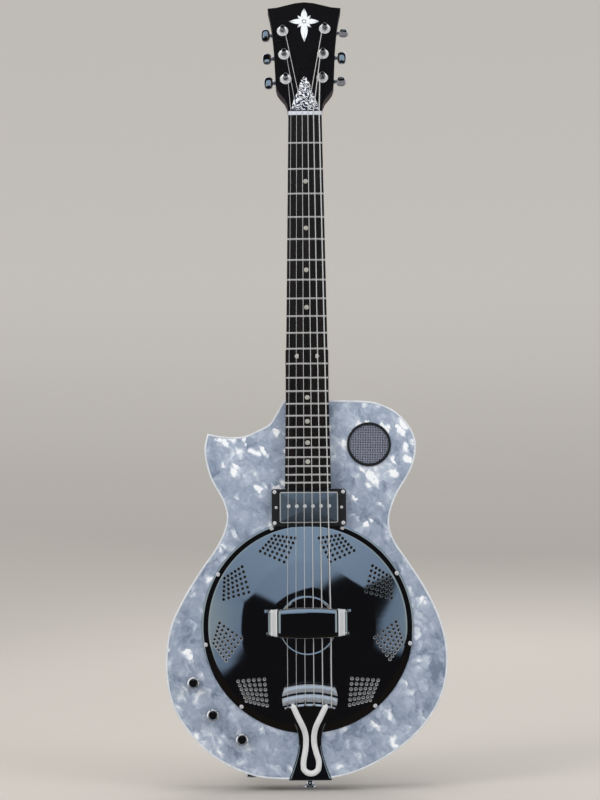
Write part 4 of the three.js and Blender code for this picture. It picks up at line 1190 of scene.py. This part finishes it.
def leaf(length, width, base, turn):
    """A pointed leaf: half its width is sin(pi t) bent towards its foot by t^0.7, turned
    about its foot."""
    t = np.linspace(0, 1, LEAF_STEPS)[:-1]
    half = width / 2 * np.sin(math.pi * t**0.7)
    side_out = np.stack([half, t * length], 1)
    side_back = np.stack([-half, t * length], 1)[::-1][:-1]
    flat = np.vstack([side_out, [[0, length]], side_back])
    spin = np.array([[math.cos(turn), math.sin(turn)], [-math.sin(turn), math.cos(turn)]])
    flat = flat @ spin + base
    area = np.sum(flat[:, 0] * np.roll(flat[:, 1], -1) - flat[:, 1] * np.roll(flat[:, 0], -1))
    return flat if area > 0 else flat[::-1]


STAR = np.array([0.0, 131.5])
STAR_LEAVES = [(17, 8.0, 0), (28, 9.0, 180), (17, 7.4, 90), (17, 7.4, -90),
               (10, 4.2, 45), (10, 4.2, -45), (10, 4.2, 135), (10, 4.2, -135)]
inlay_forms = []
for length, width, degrees in STAR_LEAVES:
    heading = math.radians(degrees)
    foot = STAR + 2.4 * np.array([math.sin(heading), math.cos(heading)])
    inlay_forms.append(cut_sheet(leaf(length, width, foot, -heading), INLAY))
inlay_forms.append(turned([(0, -0.1), (1.9, -0.1), (2.0, 0.6), (0, 0.6)], (STAR[0], 0, STAR[1]), "y", 24))
add_piece("pearl_star", leaned(together(*inlay_forms)), pearl("star_pearl"))

engraved = Finish("engraved_pearl")
vine_path = stirred(engraved, engraved.place(), 60, 2.0, 0.5, 0.012)
vine = engraved.node("ShaderNodeTexWave", {"wave_type": "RINGS", "rings_direction": "Y"},
                     {"Vector": vine_path, "Scale": 46, "Distortion": 16.0, "Detail": 1.0,
                      "Detail Scale": 3.4}, "Fac")
cut_line = vine.step(0.28, 0.40)
engraved.set(Base_Color=engraved.mix(cut_line, (0.84, 0.86, 0.89), (0.02, 0.03, 0.06)), Roughness=0.22,
             Coat_Weight=0.8)
eased("rod_cover", "engraved_cover", engraved, 0.35, 2)
cover_screws = [screw((x, -2.1, s), 1.5, 0.8) for x, s in ((-12.5, 5.0), (12.5, 5.0), (0, 43.5))]
add_piece("cover_screws", leaned(together(*cover_screws)), bright_chrome)


# ---- tuners ------------------------------------------------------------------------------------
# Six enclosed tuners: a cast case behind the headstock, a bush and washer through its face, a
# post that winds the string, and an oval button that turns the post by a worm.
POST_SPOTS = [(-28, 117), (-26.2, 82.4), (-24.2, 46.8), (26.4, 120), (23.6, 83), (22.4, 48.4)]
BUTTON_TURNS = [20, 0, 10, 90, 12, 80]
HEAD_THICK = 15.0
WORM = np.array([21.0, 7.0])     # depth behind the face, and distance past the post
BUTTON_REACH = {-1: 22.2, 1: 24.6}   # middle of a button from its post, left and right
STRING_GAUGES = [0.45, 0.50, 0.70, 0.95, 1.20, 1.45]
POST_OF_STRING = [2, 1, 0, 3, 4, 5]
COIL_PLACE = np.array([2.45, -5.0])  # the windings' inner radius and depth on a post
case_edge = softened([(8, HEAD_THICK + 0.3), (0, HEAD_THICK + 0.3), (0, HEAD_THICK + 11.8),
                      (8, HEAD_THICK + 11.8)], 1.6, 5)[1:-1]
bush_profile = softened([(3.3, -2.4), (4.7, -2.4), (5.2, -1.7), (7.3, -0.9), (7.3, -0.3), (4.6, -0.25),
                         (4.6, HEAD_THICK + 0.6), (3.3, HEAD_THICK + 0.6)], 0.5, 3, closed=True)
post_profile = softened([(0, -11.2), (2.6, -11.2), (3.05, -10.2), (2.95, -8.6), (2.3, -6.6),
                         (2.35, -4.4), (2.95, -2.8), (2.95, 18), (4.5, 18), (4.5, 23.5),
                         (0, 23.5)], 0.6, 4)
nickel_string = chrome("wound_nickel", 0.30, (0.90, 0.88, 0.85))
bush_nickel = satin("bush_nickel", 0.45, (0.97, 0.98, 0.99))


def coils(place, gauge, count=3):
    """Windings of string round a post: closed rings of the string's own thickness."""
    ring = np.arange(10) * TAU / 10
    section = np.stack([np.cos(ring), np.sin(ring)], 1) * gauge / 2
    return [turned(section + COIL_PLACE + (gauge / 2, -k * gauge), place, "y", 28, closed=True)
            for k in range(count)]


def oval_button(side, reach):
    """An oval key drawn along the worm's axis: rings whose size follows a rounded arch
    (1 - |u|^2.6)^(1/2.6), on a stepped stem."""
    u = np.sin(np.linspace(-1, 1, 27)[1:-1] * math.pi / 2)
    arch = (1 - np.abs(u) ** 2.6) ** (1 / 2.6)
    turn = np.arange(40) * TAU / 40
    soft = (np.abs(np.cos(turn)) ** 2.4 + np.abs(np.sin(turn)) ** 2.4) ** (-1 / 2.4)
    grid = np.stack([
        np.repeat(side * reach + 6.2 * u[:, None], 40, 1),
        3.3 * arch[:, None] * soft * np.sin(turn), 8.2 * arch[:, None] * soft * np.cos(turn)], -1)
    ends = [[side * reach - 6.2, 0, 0], [side * reach + 6.2, 0, 0]]
    stem = softened([(0, -5), (2.1, -5), (2.1, 5), (1.5, 5.4), (1.5, reach - 10.4), (2.9, reach - 9.6),
                     (2.9, reach - 7.4), (1.9, reach - 6.6), (1.9, reach - 3), (0, reach - 3)], 0.4, 3)
    stem[:, 1] *= side
    return together(lofted(grid, ends=ends), turned(stem, (0, 0, 0), "x", 24))


for number, (post_x, post_s) in enumerate(POST_SPOTS, 1):
    side = 1 if post_x > 0 else -1
    case_outline = rounded_box(8, 9.8, 3, (post_x, post_s + 1.8), 10)
    lid = turned(softened(rod(4.6, HEAD_THICK + 12.3, HEAD_THICK + 11), 0.5, 3),
                 (post_x, 0, post_s), "y", 32)
    housing = together(cut_sheet(case_outline, case_edge), lid,
                       screw((post_x, HEAD_THICK + 11.8, post_s - 5.6), 1.5, 0.7, sign=1))
    add_piece(f"tuner_case_{number}", leaned(housing), bright_chrome,
              (f"tuner_housing_{number}",))
    bush = turned(bush_profile, (post_x, 0, post_s), "y", 48, closed=True)
    add_piece(f"tuner_bush_{number}", leaned(bush), bush_nickel)
    post = turned(post_profile, (post_x, 0, post_s), "y", 40)
    add_piece(f"string_post_{number}", leaned(post), bright_chrome, (f"tuner_post_{number}",),
              f"tuner_post_{number}")
    windings = coils((post_x, 0, post_s), STRING_GAUGES[POST_OF_STRING.index(number - 1)])
    add_piece(f"post_coils_{number}", leaned(together(*windings)), nickel_string,
              body=f"tuner_post_{number}")
    key = oval_button(side, BUTTON_REACH[side])
    tip = math.radians(BUTTON_TURNS[number - 1])
    x, depth, up = key[0].T
    turned_key = np.stack([x + post_x, depth * math.cos(tip) - up * math.sin(tip) + WORM[0],
                           depth * math.sin(tip) + up * math.cos(tip) + post_s + WORM[1]], 1)
    add_piece(f"oval_button_{number}", leaned((turned_key, key[1], key[2])), bright_chrome,
              (f"tuner_button_{number}",), f"tuner_button_{number}")


# ---- pickup ------------------------------------------------------------------------------------
# A plated cover with six pole screws stands in a black plastic frame that four small screws
# hold to the top. Two more screws set its height.
black_plastic = Finish("black_plastic")
plastic_grain = black_plastic.noise(black_plastic.place(), 1400, 2.0)
black_plastic.bump(plastic_grain, 0.00003)
black_plastic.set(Base_Color=black_plastic.mix(plastic_grain, (0.010, 0.010, 0.011), (0.020, 0.020, 0.021)),
                  Roughness=0.30)
eased("pickup_ring", "pickup_frame", black_plastic, 1.1, 3)

COVER_TOP = TOP_Y - 11.2
cover_outline = rounded_box(*cover_half, 2.6, cover_middle, 10)
cover_profile = softened([(6, COVER_TOP), (0, COVER_TOP), (0, -14), (6, -14)], 1.8, 7)[1:-1]
POLE_SPREAD = 50.0
cover_plating = chrome("cover_plating", 0.07, (0.50, 0.52, 0.54))
# Painted highlight: over the outer one to one and a half millimetres of the cover the plating is
# made mostly diffuse, so the rim shows as a pale line.
rim_start = (cover_half - 1.6) / 1000
rim_full = (cover_half - 1.0) / 1000
rim_x = (cover_plating.axis("X") - cover_middle[0] / 1000).size().step(rim_start[0], rim_full[0])
rim_z = (cover_plating.axis("Z") - cover_middle[1] / 1000).size().step(rim_start[1], rim_full[1])
rim_highlight = rim_x + rim_z - rim_x * rim_z
cover_plating.set(Metallic=1 - rim_highlight * 0.7, Roughness=rim_highlight * 0.05 + 0.21)
pole_x = cover_middle[0] + np.linspace(-0.5, 0.5, 6) * POLE_SPREAD
poles = [screw((x, COVER_TOP + 0.1, cover_middle[1] + 1.5), 2.35, 0.95) for x in pole_x]
add_piece("pickup_cover", cut_sheet(cover_outline, cover_profile), cover_plating, ("pickup",))
add_piece("pole_screws", together(*poles), screw_nickel)
FRAME_TOP = PICKUP_BOX[0, 1]
frame_spots = [(x, z, 2.5, 1.1) for x in (-42.4, 42.4) for z in (-19.2, 19.2)]
frame_spots += [(x, 0, 1.9, 1.3) for x in (-40.4, 40.4)]
frame_screws = [screw((ring_middle[0] + x, FRAME_TOP + 0.1, ring_middle[2] + z), radius, height)
                for x, z, radius, height in frame_spots]
add_piece("frame_screws", together(*frame_screws), screw_nickel)


# ---- controls ------------------------------------------------------------------------------------
# Three plated barrel knobs with fluted sides turn potentiometers under the top.
FLUTES = 36
knob_line = softened([(0, -13), (2.8, -13), (2.8, TOP_Y - 6.7), (6.1, TOP_Y - 6.7), (6.1, TOP_Y - 1.2),
                      (7.7, TOP_Y - 1.2), (7.7, TOP_Y - 12.6), (5.5, TOP_Y - 15.0), (5.0, TOP_Y - 14.7),
                      (0, TOP_Y - 14.7)], 0.35, 3)
knob_plating = chrome("knob_plating", 0.04, (0.97, 0.97, 0.98))
pot_zinc = chrome("pot_zinc", 0.30, (0.62, 0.62, 0.60))
for name in KNOBS:
    knob_box = box_mm(f"{name}_knob")
    spot = np.array([knob_box[:, 0].mean(), 0, knob_box[:, 2].mean()])
    form = turned(knob_line, spot, "y", 4 * FLUTES)
    around = form[0] - spot
    distance = np.hypot(around[:, 0], around[:, 2])
    on_side = (distance > 7.4) & (around[:, 1] > TOP_Y - 12.4) & (around[:, 1] < TOP_Y - 1.6)
    flute = 1 - 0.022 * on_side * (0.5 + 0.5 * np.cos(FLUTES * np.arctan2(around[:, 2], around[:, 0])))
    fluted = spot + around * np.stack([flute, np.ones(len(flute)), flute], 1)
    pointer = turned([(0, TOP_Y - 14.95), (0.55, TOP_Y - 14.9), (0.6, TOP_Y - 14.4), (0, TOP_Y - 14.4)],
                     spot + (0, 0, 3.9), "y", 16)
    add_piece(f"barrel_knob_{name}", together((fluted, form[1], form[2]), pointer), knob_plating,
              (f"{name}_knob",), f"{name}_knob")
    eased(f"{name}_pot", f"potentiometer_{name}", pot_zinc, 0.3, 2)

eased("output_jack", "jack_socket", bright_chrome, 0.4, 2)


# ---- sound screen ----------------------------------------------------------------------------------
# A round opening in the upper body is covered by woven steel wire in a black bezel, with a
# bright ring where the wire is clamped.
SCREEN_BOX = box_mm("screen_bezel")
screen_spot = (SCREEN_BOX[:, 0].mean(), 0, SCREEN_BOX[:, 2].mean())
SCREEN_R = (SCREEN_BOX[1, 0] - SCREEN_BOX[0, 0]) / 2
bezel_line = softened([(SCREEN_R - 3.2, TOP_Y - 1.4), (SCREEN_R - 2.2, TOP_Y - 2.6),
                       (SCREEN_R - 0.6, TOP_Y - 2.2), (SCREEN_R, TOP_Y - 1.0),
                       (SCREEN_R, TOP_Y - 0.02), (SCREEN_R - 2.3, TOP_Y - 0.02),
                       (SCREEN_R - 2.3, RIM_FRONT), (SCREEN_R - 3.2, RIM_FRONT)], 0.5, 4, closed=True)
add_piece("screen_rim", turned(bezel_line, screen_spot, "y", 96, closed=True), black_plastic,
          ("screen_bezel",))
circle = np.arange(12) * TAU / 12
clamp = np.stack([0.55 * np.cos(circle) + SCREEN_R - 3.6, 0.5 * np.sin(circle) + TOP_Y - 1.1], 1)
WIRE = 0.40
PITCH = 2.1
MESH_R = SCREEN_R - 3.3
MESH_Y = TOP_Y - 0.45
wire_turn = np.arange(6) * TAU / 6
wire_section = np.stack([np.cos(wire_turn), np.sin(wire_turn)], 1) * WIRE


def woven(direction):
    """Wires side by side across the round opening. Each weaves over and under the others as
    a cosine with twice their pitch, and neighbours weave the opposite way."""
    wires = []
    for k, offset in enumerate(np.arange(-MESH_R + PITCH, MESH_R - 0.4, PITCH)):
        half = math.sqrt(MESH_R**2 - offset**2)
        along = np.linspace(-half, half, max(8, int(half * 2 / PITCH * 3)))
        phase = math.pi * (along - (-MESH_R + PITCH)) / PITCH
        wave = MESH_Y + direction * (-1) ** k * 0.9 * WIRE * np.cos(phase)
        flat = (offset + 0 * along, along) if direction > 0 else (along, offset + 0 * along)
        path = np.stack([flat[0] + screen_spot[0], wave, flat[1] + screen_spot[2]], 1)
        wires.append(swept(path, wire_section))
    return wires


screen_steel = satin("screen_wire", 0.40, (0.52, 0.54, 0.68))
add_piece("woven_screen", together(*woven(1), *woven(-1)), screen_steel,
          ("screen_mesh",), sharp=80)
add_piece("clamp_ring", turned(clamp, screen_spot, "y", 96, closed=True), bright_chrome)


# ---- strings -----------------------------------------------------------------------------------------
# Six strings run from the tailpiece slots over the saddle and the nut to the posts: two plain
# steel and four wound with nickel.
STRINGS_NUT = 35.5
nut_places = np.linspace(-0.5, 0.5, 6) * STRINGS_NUT
SADDLE_Y = box_mm("string_1")[0, 1] + 0.2
NUT_Y = -39.2
plain_string = satin("plain_string", 0.45, (0.86, 0.87, 0.90))
wound_string = satin("wound_string", 0.45, (0.82, 0.82, 0.82))
string_turn = np.arange(10) * TAU / 10
for number, gauge in enumerate(STRING_GAUGES, 1):
    at_saddle, at_nut = saddle_places[number - 1], nut_places[number - 1]
    post_x, post_s = POST_SPOTS[POST_OF_STRING[number - 1]]
    inward = 1 if post_x < 0 else -1
    end = on_head(np.array([post_x + inward * (COIL_PLACE[0] + gauge / 2), COIL_PLACE[1], post_s - 1.0]))
    low = slot_drop[number - 1]
    route = np.array([(at_saddle, TOP_Y - 9.8, 103.8 - low), (at_saddle, TOP_Y - 12.9, 107.5 - low),
                      (at_saddle, TOP_Y - 14.1, 124), (at_saddle, SADDLE_Y, SADDLE_Z),
                      (at_nut, NUT_Y, NUT_Z + 0.6), (at_nut, NUT_Y + 0.2, NUT_Z + 5.2), end])
    section = np.stack([np.cos(string_turn), np.sin(string_turn)], 1) * gauge / 2
    path = softened(route, 2.5, 4)
    add_piece(f"guitar_string_{number}", swept(path, section), plain_string if number < 3 else wound_string,
              (f"string_{number}",), sharp=80)
